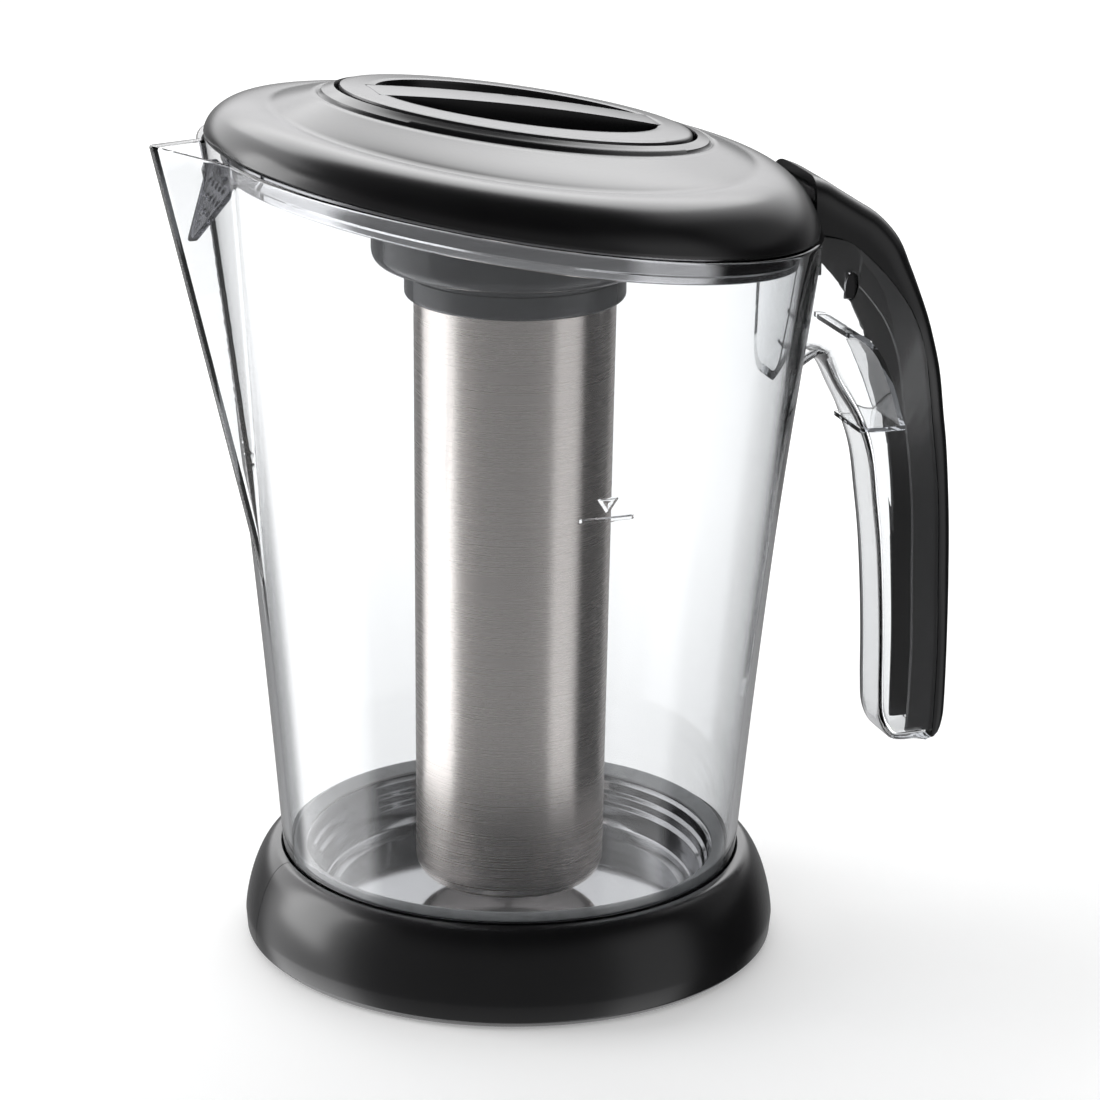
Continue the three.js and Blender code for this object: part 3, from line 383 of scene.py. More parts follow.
def clear_finish(name, colour, roughness, ior, waviness):
    """Clear plastic with the mould's slight waves, darker along its edges. Lamps shine through it."""
    material, tree, shader, output = new_finish(name)
    with_values(shader, Base_Color=(*colour, 1), Transmission_Weight=1, Roughness=roughness, IOR=ior)
    bump(tree, shader, stretched_noise(tree, (1, 1, 0.16), 46, 1), waviness, 0.0006)
    path = add_node(tree, "LightPath")
    through = add_node(tree, "BsdfTransparent", Color=(*(c * 0.93 for c in colour), 1))
    seen = mixed(tree, path.outputs["Is Shadow Ray"], shader.outputs["BSDF"], through.outputs["BSDF"])
    tree.links.new(seen, output.inputs["Surface"])
    finishes = bpy.context.scene.jug_finishes
    soak = add_node(tree, "VolumeAbsorption", Color=(*finishes.clear_edge, 1), Density=finishes.clear_density)
    tree.links.new(soak.outputs["Volume"], output.inputs["Volume"])
    return material


def brushed_finish(name, colour, roughness):
    """Steel brushed around the tube: hair lines that run round it, over fainter and broader bands."""
    material, tree, shader, _ = new_finish(name)
    with_values(shader, Metallic=1, Anisotropic=0.9, Anisotropic_Rotation=0.25)
    hairs = stretched_noise(tree, (3, 3, 900), 2.2, 6)
    bands = stretched_noise(tree, (2, 2, 260), 3.0, 3)
    darker = [c * 0.975 for c in colour]
    dullness = (hairs, roughness - 0.006, roughness + 0.008)
    vary(tree, shader, (bands, darker, colour), dullness, (hairs, 0.006, 0.00001))
    tangent = add_node(tree, "Tangent")
    tangent.direction_type = "RADIAL"
    tangent.axis = "Z"
    tree.links.new(tangent.outputs["Tangent"], shader.inputs["Tangent"])
    return material


def polished_finish(name, colour, roughness):
    """Bright drawn steel with the faint rings of the drawing and polishing."""
    material, tree, shader, _ = new_finish(name)
    with_values(shader, Metallic=1)
    rings = stretched_noise(tree, (1.5, 1.5, 260), 3.0, 3)
    darker = [c * 0.93 for c in colour]
    dullness = (rings, roughness * 0.6, roughness * 1.5)
    vary(tree, shader, (rings, darker, colour), dullness, (rings, 0.1, 0.00003))
    return material


def rubber_finish(name, colour):
    """Soft grey silicone with a dull, slightly dusty surface."""
    material, tree, shader, _ = new_finish(name)
    dust = stretched_noise(tree, (1, 1, 1), 220)
    lighter = [c * 1.25 for c in colour]
    vary(tree, shader, (dust, colour, lighter), (dust, 0.45, 0.62), (dust, 0.15, 0.00005))
    return material


# Adjustable sizes, colours and stage


def size_property(name, text, value, low, high):
    return bpy.props.FloatProperty(
        name=name, description=text, default=value, min=low, max=high, unit="LENGTH", subtype="DISTANCE"
    )


def colour_property(name, text, value):
    return bpy.props.FloatVectorProperty(
        name=name, description=text, default=value, min=0, max=1, size=3, subtype="COLOR"
    )


def angle_property(name, text, degrees):
    return bpy.props.FloatProperty(
        name=name, description=text, default=math.radians(degrees), unit="ROTATION", subtype="ANGLE"
    )


def share_property(name, text, value, high=1.0):
    return bpy.props.FloatProperty(
        name=name, description=text, default=value, min=0, max=high, subtype="FACTOR"
    )


def number_property(name, text, value, low, high):
    return bpy.props.FloatProperty(name=name, description=text, default=value, min=low, max=high)


class JUG_PG_sizes(bpy.types.PropertyGroup):
    """Sizes that don't change the jug's outline"""

    wall: size_property("Clear wall", "Thickness of the clear wall", 0.0028, 0.001, 0.005)
    rim_round: size_property("Rim round", "Rounding of the clear rim", 0.0009, 0.0001, 0.0014)
    grip_round: size_property("Grip round", "Rounding of the clear grip's corners", 0.005, 0.001, 0.009)
    cover_round: size_property("Cover round", "Rounding of the black cover's corners", 0.005, 0.001, 0.01)


class JUG_PG_finishes(bpy.types.PropertyGroup):
    """Colours and surfaces"""

    black: colour_property("Black plastic", "Lid, plug, cover and base", (0.0055, 0.0055, 0.006))
    black_roughness: share_property("Black roughness", "How dull the black plastic is", 0.25)
    grey: colour_property("Dark grey plastic", "Tube socket, collar and stopper", (0.045, 0.046, 0.049))
    clear: colour_property("Clear plastic", "Body and handle channel", (0.985, 0.99, 0.992))
    clear_ior: number_property("Clear index", "Refractive index of the clear plastic", 1.5, 1, 2)
    clear_edge: colour_property("Clear edge", "Tint of thick clear plastic", (0.5, 0.525, 0.56))
    clear_density: number_property("Clear density", "How fast the clear plastic soaks up light", 52, 0, 500)
    smoke: colour_property("Smoky plastic", "Strainer in the spout", (0.2, 0.2, 0.22))
    steel: colour_property("Brushed steel", "Cooling tube", (0.84, 0.785, 0.75))
    steel_roughness: share_property("Brushed roughness", "How dull the brushed steel is", 0.27)
    mirror: colour_property("Polished steel", "Floor dish and the liner of the lid", (0.52, 0.52, 0.53))
    mirror_roughness: share_property("Polished roughness", "How dull the polished steel is", 0.07)
    rubber: colour_property("Silicone", "Seals", (0.2, 0.205, 0.21))
    zinc: colour_property("Screw steel", "Screws", (0.4, 0.4, 0.39))


class JUG_PG_stage(bpy.types.PropertyGroup):
    """Stage, lamps and camera"""

    azimuth: angle_property("Azimuth", "Camera's turn about the jug", -19.42)
    elevation: angle_property("Elevation", "Camera's height angle", 18.13)
    roll: angle_property("Roll", "Camera's tilt", 0.7644)
    distance: size_property("Distance", "Camera to the jug's middle", 1.5, 0.5, 5)
    lens: number_property("Lens", "Focal length in millimetres on a 36 mm frame", 146.585, 20, 400)
    floor: colour_property("Floor", "Colour of the floor", (0.86, 0.86, 0.86))
    side_power: share_property("Side lamp", "Power of the soft lamp on the spout's side", 15.0, 200.0)
    back_power: share_property("Top lamp", "Power of the soft lamp above and behind", 14.0, 200.0)
    ambient: share_property("Ambient", "Level of the even light all round", 0.62, 2.0)
    soft_light: share_property("Soft light", "How bright the light at the side shines in gloss", 1.4, 5.0)
    overhead: share_property("Overhead", "How bright the cloth above and behind shines in gloss", 2.4, 10.0)
    inside: share_property("Inside", "Share of the cloth that shines through the clear wall", 0.5)
    overhead_top: angle_property("Overhead top", "Height angle of the cloth's upper edge", 51)
    floor_glow: share_property("Floor glow", "Lift of the floor to white, as the eye sees it", 0.24)
    floor_near: size_property("Floor near", "How far from the jug the floor starts to whiten", 0.9, 0.1, 5)
    floor_far: size_property("Floor far", "How far from the jug the floor is plain white", 2.2, 0.2, 9)


def finish_of(kind):
    """The shared material of a kind of surface, made when it is first asked for."""
    f = bpy.context.scene.jug_finishes
    makers = {
        "satin_black": lambda: satin_finish(kind, f.black, f.black_roughness, 0.006),
        "dark_grey": lambda: satin_finish(kind, f.grey, 0.2, 0.001),
        "clear_plastic": lambda: clear_finish(kind, f.clear, 0.012, f.clear_ior, 0.05),
        "smoky_plastic": lambda: clear_finish(kind, f.smoke, 0.16, 1.45, 0.1),
        "hairline_steel": lambda: brushed_finish(kind, f.steel, f.steel_roughness),
        "polished_steel": lambda: polished_finish(kind, f.mirror, f.mirror_roughness),
        "seal_rubber": lambda: rubber_finish(kind, f.rubber),
        "zinc_steel": lambda: polished_finish(kind, f.zinc, 0.3),
    }
    return bpy.data.materials.get(kind) or makers[kind]()


def give_finish(piece, kind):
    piece.data.materials.clear()
    piece.data.materials.append(finish_of(kind))


def place(piece, body, kind, node, sharp=35):
    """Gives a finished piece its shading, finish and body, and hides the solid it stands for."""
    piece.data.shade_smooth()
    piece.data.set_sharp_from_angle(angle=math.radians(sharp))
    give_finish(piece, kind)
    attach(piece, body)
    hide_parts(node)
    return piece


def dress_node(node, kind):
    """Gives a solid that is shown as packed its finish, with its small edges rounded."""
    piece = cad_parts[node]
    give_finish(piece, kind)
    weld = piece.modifiers.new("Weld", "WELD")
    weld.merge_threshold = 0.002 * MM
    edge = piece.modifiers.new("Round", "BEVEL")
    edge.width = 0.15 * MM
    edge.segments = 2
    edge.limit_method = "ANGLE"
    edge.angle_limit = math.radians(40)


# Clear body

MARK_ANGLE = 1.5 * math.pi
MARK_HALF_TURN = 0.112
MARK_HEIGHT = 0.5
FILL_Z = 173.8
FILL_HALF = 9.0
POINTER_TIP = 176.2
POINTER_TOP = 180.9
POINTER_SPREAD = 0.68
MARK_SPAN = (172, 182)


def spout_radius(aside, z, inset, corner):
    """Distance from the jug's axis to the V of the spout, by the angle away from the spout."""
    share = (z - SPOUT_ROOT_Z) / (RIM_TOP_Z - SPOUT_ROOT_Z)
    root = wall_radius(np.array(SPOUT_ROOT_Z))
    ridge = root + (SPOUT_TIP - root) * share
    sine, cosine = math.sin(SPOUT_HALF_ANGLE), math.cos(SPOUT_HALF_ANGLE)
    apex = ridge - SPOUT_ROUND + (SPOUT_ROUND - inset) / sine
    middle = apex - corner / sine
    flat = apex * sine / np.sin(np.minimum(aside, math.pi / 2 - SPOUT_HALF_ANGLE) + SPOUT_HALF_ANGLE)
    inside = np.maximum(corner**2 - (middle * np.sin(aside)) ** 2, 0)
    arc = middle * np.cos(aside) + np.sqrt(inside)
    turn = np.arctan2(corner * cosine, middle + corner * sine)
    return np.where(aside < turn, arc, flat)


def vessel_radius(angle, z, inset):
    """Distance from the axis to the clear wall, at a depth below its outer face."""
    aside = np.abs(math.pi - np.mod(angle, math.tau))
    corner = SPOUT_ROUND if inset == 0 else SPOUT_INNER_ROUND
    wall = wall_radius(z) - inset + (root_swell(angle, z) if inset == 0 else 0)
    spout = spout_radius(aside, z, inset, corner)
    step, blend = wall - spout, SPOUT_BLEND
    outer = (wall + spout + np.sqrt(step**2 + blend**2)) / 2
    return outer - blend**2 / (4 * np.abs(step) + 2 * blend)


def fill_mark(angle, z):
    """Height of the raised fill line and its pointer over the wall."""
    across = (angle - MARK_ANGLE) * wall_radius(np.array(FILL_Z))
    line = smooth_share((FILL_HALF - np.abs(across)) / 0.5) * smooth_share((0.75 - np.abs(z - FILL_Z)) / 0.35)
    half = np.maximum(z - POINTER_TIP, 0) * POINTER_SPREAD
    inside = np.minimum(half - np.abs(across), POINTER_TOP - z) / 0.45
    ring = half - 1.0 - np.abs(across)
    hollow = smooth_share(np.minimum(ring, POINTER_TOP - 0.8 - z) / 0.4)
    return MARK_HEIGHT * np.maximum(line, smooth_share(inside) * (1 - hollow))


def vessel_columns():
    """Angles round the body, closer together at the spout and at the fill mark."""
    share = np.linspace(0, 1, 360, endpoint=False)
    even = math.tau * share + 0.72 * np.sin(math.tau * share)
    mark = MARK_ANGLE + np.linspace(-MARK_HALF_TURN, MARK_HALF_TURN, 53)
    far = np.abs(even - MARK_ANGLE) > MARK_HALF_TURN + 0.003
    return np.sort(np.concatenate([even[far], mark]))


def clear_body():
    """The clear body as one skin: outer wall, round rim, inner wall, ledge and foot."""
    sizes = bpy.context.scene.jug_sizes
    wall, rim = sizes.wall / MM, sizes.rim_round / MM
    angle = vessel_columns()
    fixed = np.concatenate([
        (FOOT_BOTTOM_Z, FOOT_BOTTOM_Z + 4), np.linspace(BASE_HEIGHT, MARK_SPAN[0], 40, endpoint=False),
        np.linspace(*MARK_SPAN, 42, endpoint=False), np.linspace(MARK_SPAN[1], 236, 18),
    ])

    def top_of(inset):
        z = np.full_like(angle, RIM_HEIGHT)
        for _ in range(8):
            z = rim_plane(vessel_radius(angle, z, inset) * np.cos(angle))
        return z

    rows = []

    def add_row(radius, z):
        rows.append(around_axis(radius, angle, z))

    top, inner_top = top_of(0), top_of(wall)
    for z in fixed:
        level = z + 0 * angle
        add_row(vessel_radius(angle, level, 0) + fill_mark(angle, level), level)
    for share in np.linspace(0, 1, 16)[1:]:
        level = fixed[-1] + (top - rim - fixed[-1]) * share
        add_row(vessel_radius(angle, level, 0), level)
    for turn in np.linspace(0, math.pi / 2, 6)[1:]:
        level = top - rim * (1 - math.sin(turn))
        add_row(vessel_radius(angle, level, 0) - rim * (1 - math.cos(turn)), level)
    for turn in np.linspace(math.pi / 2, 0, 6):
        level = inner_top - rim * (1 - math.sin(turn))
        add_row(vessel_radius(angle, level, wall) + rim * (1 - math.cos(turn)), level)
    for share in np.linspace(1, 0, 16)[1:]:
        level = fixed[-1] + (inner_top - rim - fixed[-1]) * share
        add_row(vessel_radius(angle, level, wall), level)
    for z in fixed[::-1]:
        if z > LEDGE_TOP_Z + 2:
            add_row(vessel_radius(angle, z + 0 * angle, wall), z)
    inner = FOOT_RADIUS - wall
    foot = rounded(
        [(inner, BASE_HEIGHT), (inner, LEDGE_TOP_Z), (LEDGE_RADIUS, LEDGE_TOP_Z),
         (LEDGE_RADIUS, FOOT_BOTTOM_Z), (FOOT_RADIUS, FOOT_BOTTOM_Z), (FOOT_RADIUS, FOOT_BOTTOM_Z + 2)],
        (0, 0.6, 0.5, 0.5, 0, 0),
    )
    for radius, z in foot[:-2]:
        add_row(radius + 0 * angle, z)
    points = np.concatenate(rows)
    piece = add_object("clear_body", points, grid_faces(len(rows), len(angle), True, True))
    return place(piece, "jug", "clear_plastic", "jug_body", sharp=40)


# Floor dish and its seal


def floor_dish():
    outline = [
        (0, 14), (58.5, 14), (61.2, 14.9), (63.6, 15.6), (64.4, 18.2), (65.2, 22.6), (66.4, 23.8),
        (66.9, 26.4), (67.9, 27.4), (68.5, 30.4), (69.3, 31.7), (73.8, 31.7), (73.8, 30.9), (70.1, 30.9),
        (69.2, 30), (68.6, 27), (67.6, 26), (67.1, 23.4), (65.9, 22.2), (65.1, 17.8), (64.2, 14.9),
        (61.6, 14.1), (58.5, 13.2), (0, 13.2),
    ]
    radii = [0] + [1.2, 1.0, 1.4, 1, 0.7, 0.7, 0.6, 0.6, 1, 0.7, 0.2, 0.2, 0.6] + [0.5] * 9 + [0]
    piece = turned("floor_dish_skin", rounded(outline, radii, 4))
    place(piece, "jug", "polished_steel", "floor_dish", sharp=50)
    seal = [(69.3, 32), (73.8, 32), (73.8, 35.3), (73, 35.3), (69.3, 32.8)]
    ring = turned("floor_seal_ring", rounded(seal, (0.1, 0.1, 0.3, 0.5, 0.3)))
    place(ring, "jug", "seal_rubber", "floor_seal")


# Base ring

BOSS_RING = 77


def base_ring():
    """Two half shells with a fine parting line and screw bosses, the plate and its screws."""
    lip, top, belly, shelf = 78.5, 77.7, 8, 21.1
    turn = np.linspace(0, math.pi / 2, 20)
    across = lip + (BASE_RADIUS - lip) * np.sin(turn)
    side = np.stack([across, belly + (BASE_HEIGHT - belly) * np.cos(turn) ** 1.4], axis=1)
    inside = side[::-1] - np.array([2.6, 0])
    below = inside[inside[:, 1] < shelf]
    edge = rounded(
        [(lip - 1, BASE_HEIGHT), *side[1:-1:3].tolist(), (BASE_RADIUS, belly), (89.52, 2.4), (86.8, 0),
         (84.2, 0)],
        [0] * (len(side[1:-1:3]) + 1) + [2, 1.2, 0.6, 0.1],
    )
    outline = np.concatenate([
        [(top, BASE_HEIGHT - 0.25), (top + 0.25, BASE_HEIGHT)], side[1:], edge[-18:],
        below, [(below[-1][0] - 1.3, shelf), (71.2, shelf), (71.2, 23.7), (top, 23.7)],
    ])
    for half, name, angles in ((-1, "near", (225, 315)), (1, "far", (45, 135))):
        piece = turned(f"base_half_{name}", outline, TURN_STEPS * 2, half=half)
        for x, y, _ in around_axis(BOSS_RING, np.radians(angles), 0):
            boss = turned("boss", [(1.8, 3.3), (4.2, 3.3), (4.2, 22.4), (1.8, 22.4)], 24)
            boss.data.transform(Matrix.Translation((x * MM, y * MM, 0)))
            shape(piece, "UNION", boss)
        place(piece, "jug", "satin_black", f"base_shell_{name}", sharp=38)
    dress_node("base_plate", "satin_black")
    for i in range(1, 5):
        dress_node(f"base_screw_{i}", "zinc_steel")


# Handle: a clear channel with an open back, and the black cover that closes it

GRIP = [
    (-0.04, 0.652), (0.01, 0.68), (0.07, 0.687), (0.14, 0.667), (0.22, 0.628), (0.33, 0.575), (0.415, 0.51),
    (0.46, 0.43), (0.498, 0.35), (0.525, 0.255), (0.54, 0.17), (0.548, 0.09), (0.565, 0.04), (0.63, 0.006),
    (0.72, -0.002), (0.87, -0.002),
]
SEAM = [
    (-0.04, 0.915), (0.11, 0.903), (0.22, 0.884), (0.354, 0.851), (0.493, 0.808), (0.597, 0.765),
    (0.695, 0.703), (0.757, 0.63), (0.789, 0.588), (0.845, 0.497), (0.88, 0.407), (0.896, 0.288),
    (0.912, 0.167), (0.905, 0.047), (0.893, 0.003),
]
BACK = [
    (-0.04, 1.006), (0.04, 0.995), (0.144, 0.977), (0.266, 0.956), (0.404, 0.931), (0.53, 0.892),
    (0.6, 0.848), (0.655, 0.809), (0.755, 0.735), (0.84, 0.662), (0.898, 0.588), (0.944, 0.515),
    (0.98, 0.407), (0.998, 0.299), (1, 0.191), (0.998, 0.06), (0.984, 0.028), (0.955, 0.01), (0.918, 0.003),
]
RIB = [(0.2, 0.738), (0.3, 0.732), (0.42, 0.701), (0.525, 0.641), (0.615, 0.575), (0.632, 0.566)]
WIDTHS = [(0, 0), (0.3, 0.04), (0.47, 0.08), (0.55, 0.17), (0.6, 0.32), (0.7, 0.72), (0.8, 0.98), (1, 1)]
HANDLE_REACH = 156.6
HANDLE_BOTTOM = 55.0
HANDLE_TOP = 259.0
ROOT_WIDTH = 41.0
GRIP_WIDTH = 23.5
CHANNEL_WALL = 2.4
ROOT_TAPER = 0.22
COVER_WALL = 3.0
COVER_SWELL = 4.5
STATIONS = 96
FULLNESS = 0.86
TONGUE_DEPTH = 8.6
TONGUE_THICKNESS = 2.0
TONGUE_START = 114.5
WEB_THICKNESS = 1.6
WEB_FLOOR = 16.4
WINDOW_RADIUS = 2.2
WINDOW_STRETCH = 2.34
WINDOW_X = 112.2
LATCH_X = 112.6
LATCH_Z = 222.7
CORE_SPAN = (20, 300)


def handle_curve(shares, offset=0.0, stations=STATIONS, root=0.0):
    """Evenly spaced points of a side view curve in X and Z, moved to its left by an offset."""
    points = np.array(shares, float)
    points[0, 0] -= root
    points = points * [HANDLE_REACH - RIM_RADIUS, HANDLE_TOP - HANDLE_BOTTOM] + [RIM_RADIUS, HANDLE_BOTTOM]
    fine = soften(points, 600)
    steps = np.linalg.norm(np.diff(fine, axis=0), axis=1)
    along = np.concatenate([[0], np.cumsum(steps)])
    share = np.linspace(0, along[-1], stations)
    even = np.stack([np.interp(share, along, fine[:, k]) for k in (0, 1)], axis=1)
    tangent = np.gradient(even, axis=0)
    tangent /= np.linalg.norm(tangent, axis=1)[:, None]
    return even + offset * np.stack([-tangent[:, 1], tangent[:, 0]], axis=1)


WIDTH_LINE = soften(WIDTHS, 200)


def handle_half_width(z):
    share = np.clip((np.asarray(z) - HANDLE_BOTTOM) / (HANDLE_TOP - HANDLE_BOTTOM), 0, 1)
    spread = np.interp(share, WIDTH_LINE[:, 0], WIDTH_LINE[:, 1])
    return (GRIP_WIDTH + (ROOT_WIDTH - GRIP_WIDTH) * spread) / 2


def hook_rows(crown, rim, inward, corner, margin, taper=0.0, spread=5):
    """Sections of a hook from one rim, round the crown with its full corners, to the other rim."""
    towards = np.gradient(crown, axis=0)
    towards /= np.linalg.norm(towards, axis=1)[:, None]
    normal = inward * np.stack([-towards[:, 1], towards[:, 0]], axis=1)
    corner = np.minimum(corner, 0.75 * np.linalg.norm(crown - rim, axis=1))
    taper = np.broadcast_to(taper, len(crown))
    rows = []
    for i in range(len(crown)):
        deep = crown[i] + normal[i] * corner[i]
        section = []
        for share in np.linspace(0, 1, spread, endpoint=False):
            x, z = rim[i] + (deep - rim[i]) * share
            section.append((x, (handle_half_width(z) - margin) * (1 - taper[i] * share), z))
        for turn in np.linspace(0, math.pi / 2, 9):
            x, z = crown[i] + normal[i] * corner[i] * (1 - math.sin(turn) ** FULLNESS)
            half = (handle_half_width(z) - margin) * (1 - taper[i])
            section.append((x, half - corner[i] * (1 - max(math.cos(turn), 0) ** FULLNESS), z))
        flat = np.array(section)
        bridge = flat[-1] * [(1, across, 1) for across in np.linspace(1, -1, 7)[1:-1]]
        rows.append(np.concatenate([flat, bridge, flat[::-1] * [1, -1, 1]]))
    return np.array(rows)


def hook_shell(name, outer, inner):
    """A closed shell between an outer and an inner set of sections, open along its rims."""
    stations, count = outer.shape[:2]
    points = np.concatenate([outer.reshape(-1, 3), inner.reshape(-1, 3)])
    shift = stations * count
    faces = grid_faces(stations, count)
    faces += [tuple(shift + i for i in face) for face in grid_faces(stations, count)]
    for i in range(stations - 1):
        for edge in (0, count - 1):
            a, b = i * count + edge, (i + 1) * count + edge
            faces.append((a, b, shift + b, shift + a))
    for j in range(count - 1):
        faces.append((j, j + 1, shift + j + 1, shift + j))
    last = (stations - 1) * count
    faces += [tuple(last + j for j in range(count)), tuple(shift + last + j for j in range(count))]
    faces.append((last, last + count - 1, shift + last + count - 1, shift + last))
    return add_object(name, points, faces)


def body_core(outset, low, high):
    """The solid inside the outer face of the clear wall, to trim what stands against it."""
    angle = np.linspace(0, math.tau, TURN_STEPS, endpoint=False)
    rows = []
    for z in np.linspace(low, high, 40):
        rows.append(around_axis(wall_radius(z) + root_swell(angle, z) + outset, angle, z))
    return lofted("core", rows)


def even_stations(line, count):
    """The same line with another number of points."""
    share = np.linspace(0, len(line) - 1, count)
    return np.stack([np.interp(share, np.arange(len(line)), line[:, k]) for k in (0, 1)], axis=1)


def plate_strip(upper, lower, y_of, thickness):
    """A thin curved plate between two side view curves, at a distance from the middle plane."""
    rows = []
    for (ax, az), (bx, bz) in zip(upper, lower):
        a, b = y_of(az), y_of(bz)
        rows.append([(ax, a, az), (bx, b, bz), (bx, b - thickness, bz), (ax, a - thickness, az)])
    return lofted("strip", rows)


def handle_channel():
    """The clear channel: rounded grip, thin walls, latch windows and the curved web inside."""
    corner = bpy.context.scene.jug_sizes.grip_round / MM
    root = 0.1
    crown = handle_curve(GRIP, root=root)
    near_root = smooth_share((crown[:, 1] - 165) / 30)
    full_corner = corner + 6 * near_root
    outer = hook_rows(crown, handle_curve(SEAM, root=root), 1, full_corner, 0, ROOT_TAPER * near_root)
    seam = handle_curve(SEAM, root=root)
    seam[:, 1] = np.maximum(seam[:, 1], HANDLE_BOTTOM + CHANNEL_WALL)
    crown = handle_curve(GRIP, CHANNEL_WALL, root=root)
    crown[:, 1] = np.maximum(crown[:, 1], HANDLE_BOTTOM + CHANNEL_WALL - 0.3)
    inner_corner = np.maximum(full_corner - CHANNEL_WALL, 0.4)
    inner = hook_rows(crown, seam, 1, inner_corner, CHANNEL_WALL, ROOT_TAPER * near_root)
    piece = hook_shell("clear_channel", outer, inner)
    rib_top = handle_curve(RIB, 0, 24)
    rib_low = handle_curve(RIB, -WEB_THICKNESS, 24)

    def half_inside(z):
        return float(handle_half_width(z)) - CHANNEL_WALL + 0.2

    rows = []
    for (ax, az), (bx, bz) in zip(rib_top, rib_low):
        a, b = half_inside(az), half_inside(bz)
        rows.append([(ax, -a, az), (ax, a, az), (bx, b, bz), (bx, -b, bz)])
    end_x, end_z = rib_top[-1]
    size = (WEB_FLOOR, half_inside(end_z) * 2, WEB_THICKNESS)
    floor = box("web_floor", size, (end_x - WEB_FLOOR / 2, 0, end_z - WEB_THICKNESS / 2))
    window = pillar(WINDOW_RADIUS, -60, 60, 24)
    window.data.transform(Matrix.Rotation(math.pi / 2, 4, "X"))
    window.data.transform(Matrix.Diagonal((1, 1, WINDOW_STRETCH, 1)))
    window.data.transform(Matrix.Translation((WINDOW_X * MM, 0, LATCH_Z * MM)))
    shape(piece, "UNION", lofted("web", rows), floor)
    shape(piece, "DIFFERENCE", window, body_core(0.04, *CORE_SPAN))
    return place(piece, "jug", "clear_plastic", "handle_channel", sharp=32)


def handle_cover():
    """The black cover: a rounded back with two tongues that reach into the channel."""
    corner = bpy.context.scene.jug_sizes.cover_round / MM
    root = 0.02
    seam = handle_curve(SEAM, GAP, root=root)
    back = handle_curve(BACK, root=root)
    full_corner = corner + COVER_SWELL * smooth_share((back[:, 1] - 205) / 40)
    outer = hook_rows(back, seam, -1, full_corner, 0)
    inner_back = handle_curve(BACK, -COVER_WALL, root=root)
    inner_seam = handle_curve(SEAM, GAP, root=root)
    inner_back[:, 1] = np.maximum(inner_back[:, 1], HANDLE_BOTTOM + 4.6)
    inner_seam[:, 1] = np.maximum(inner_seam[:, 1], HANDLE_BOTTOM + 3.2)
    at_foot = inner_back[:, 1] < HANDLE_BOTTOM + 20
    inner_back[at_foot, 0] = np.maximum(inner_back[at_foot, 0], inner_seam[at_foot, 0] + 0.5)
    inner_corner = np.maximum(full_corner - COVER_WALL, 0.5)
    inner = hook_rows(inner_back, inner_seam, -1, inner_corner, COVER_WALL - GAP)
    piece = hook_shell("black_cover", outer, inner)
    lower, upper = handle_curve(SEAM, -TONGUE_DEPTH), handle_curve(SEAM, 1.5)
    lower, upper = (even_stations(line[line[:, 0] > TONGUE_START], STATIONS) for line in (lower, upper))
    for line in (lower, upper):
        line[:, 1] = np.maximum(line[:, 1], HANDLE_BOTTOM + CHANNEL_WALL + GAP * 2)

    def tongue_face(z, side):
        face = float(handle_half_width(z)) - CHANNEL_WALL - GAP
        return face if side > 0 else TONGUE_THICKNESS - face

    for side in (1, -1):
        tongue = plate_strip(upper, lower, lambda z, side=side: tongue_face(z, side), TONGUE_THICKNESS)
        middle = tongue_face(LATCH_Z, side) - TONGUE_THICKNESS / 2
        latch = box("latch", (5, 1.6, 9), (LATCH_X, middle, LATCH_Z))
        shape(piece, "UNION", tongue, latch)
    lid_space = pillar(101.1, 243, 280, TURN_STEPS)
    lid_space.data.transform(Matrix.Translation((LID_SHIFT * MM, 0, 0)))
    core = shape(body_core(GAP, *CORE_SPAN), "DIFFERENCE", above_rim(GAP))
    shape(piece, "DIFFERENCE", core, lid_space)
    return place(piece, "jug", "satin_black", "handle_cover", sharp=32)


# Lid


def lid_spread(points):
    """Squeezes turned points to an oval at the plug, lifts them to the handle, lays them on the rim plane."""
    radius = np.hypot(points[:, 0], points[:, 1])
    start = OPENING_RADIUS + 2.5
    outward = np.clip((radius - start) / (CREASE_RADIUS - start), 0, 1)
    ahead = np.divide(points[:, 0], radius, out=np.zeros_like(radius), where=radius > 0)
    lift = CREASE_RISE * ahead - CREASE_SIDE_DROP * (1 - ahead**2)
    inner = np.clip((radius - OPENING_RADIUS) / (CREASE_RADIUS - OPENING_RADIUS), 0, 1)
    above_edge = np.maximum(points[:, 2] - LID_EDGE_HEIGHT, 0) / (CREASE_HEIGHT - LID_EDGE_HEIGHT)
    points[:, 2] += lift * np.where(radius > CREASE_RADIUS, above_edge, inner)
    points[:, 0] += LID_SHIFT * outward
    points[:, 1] *= PLUG_OVAL + (1 - PLUG_OVAL) * smooth_share(outward)
    return slope(points)


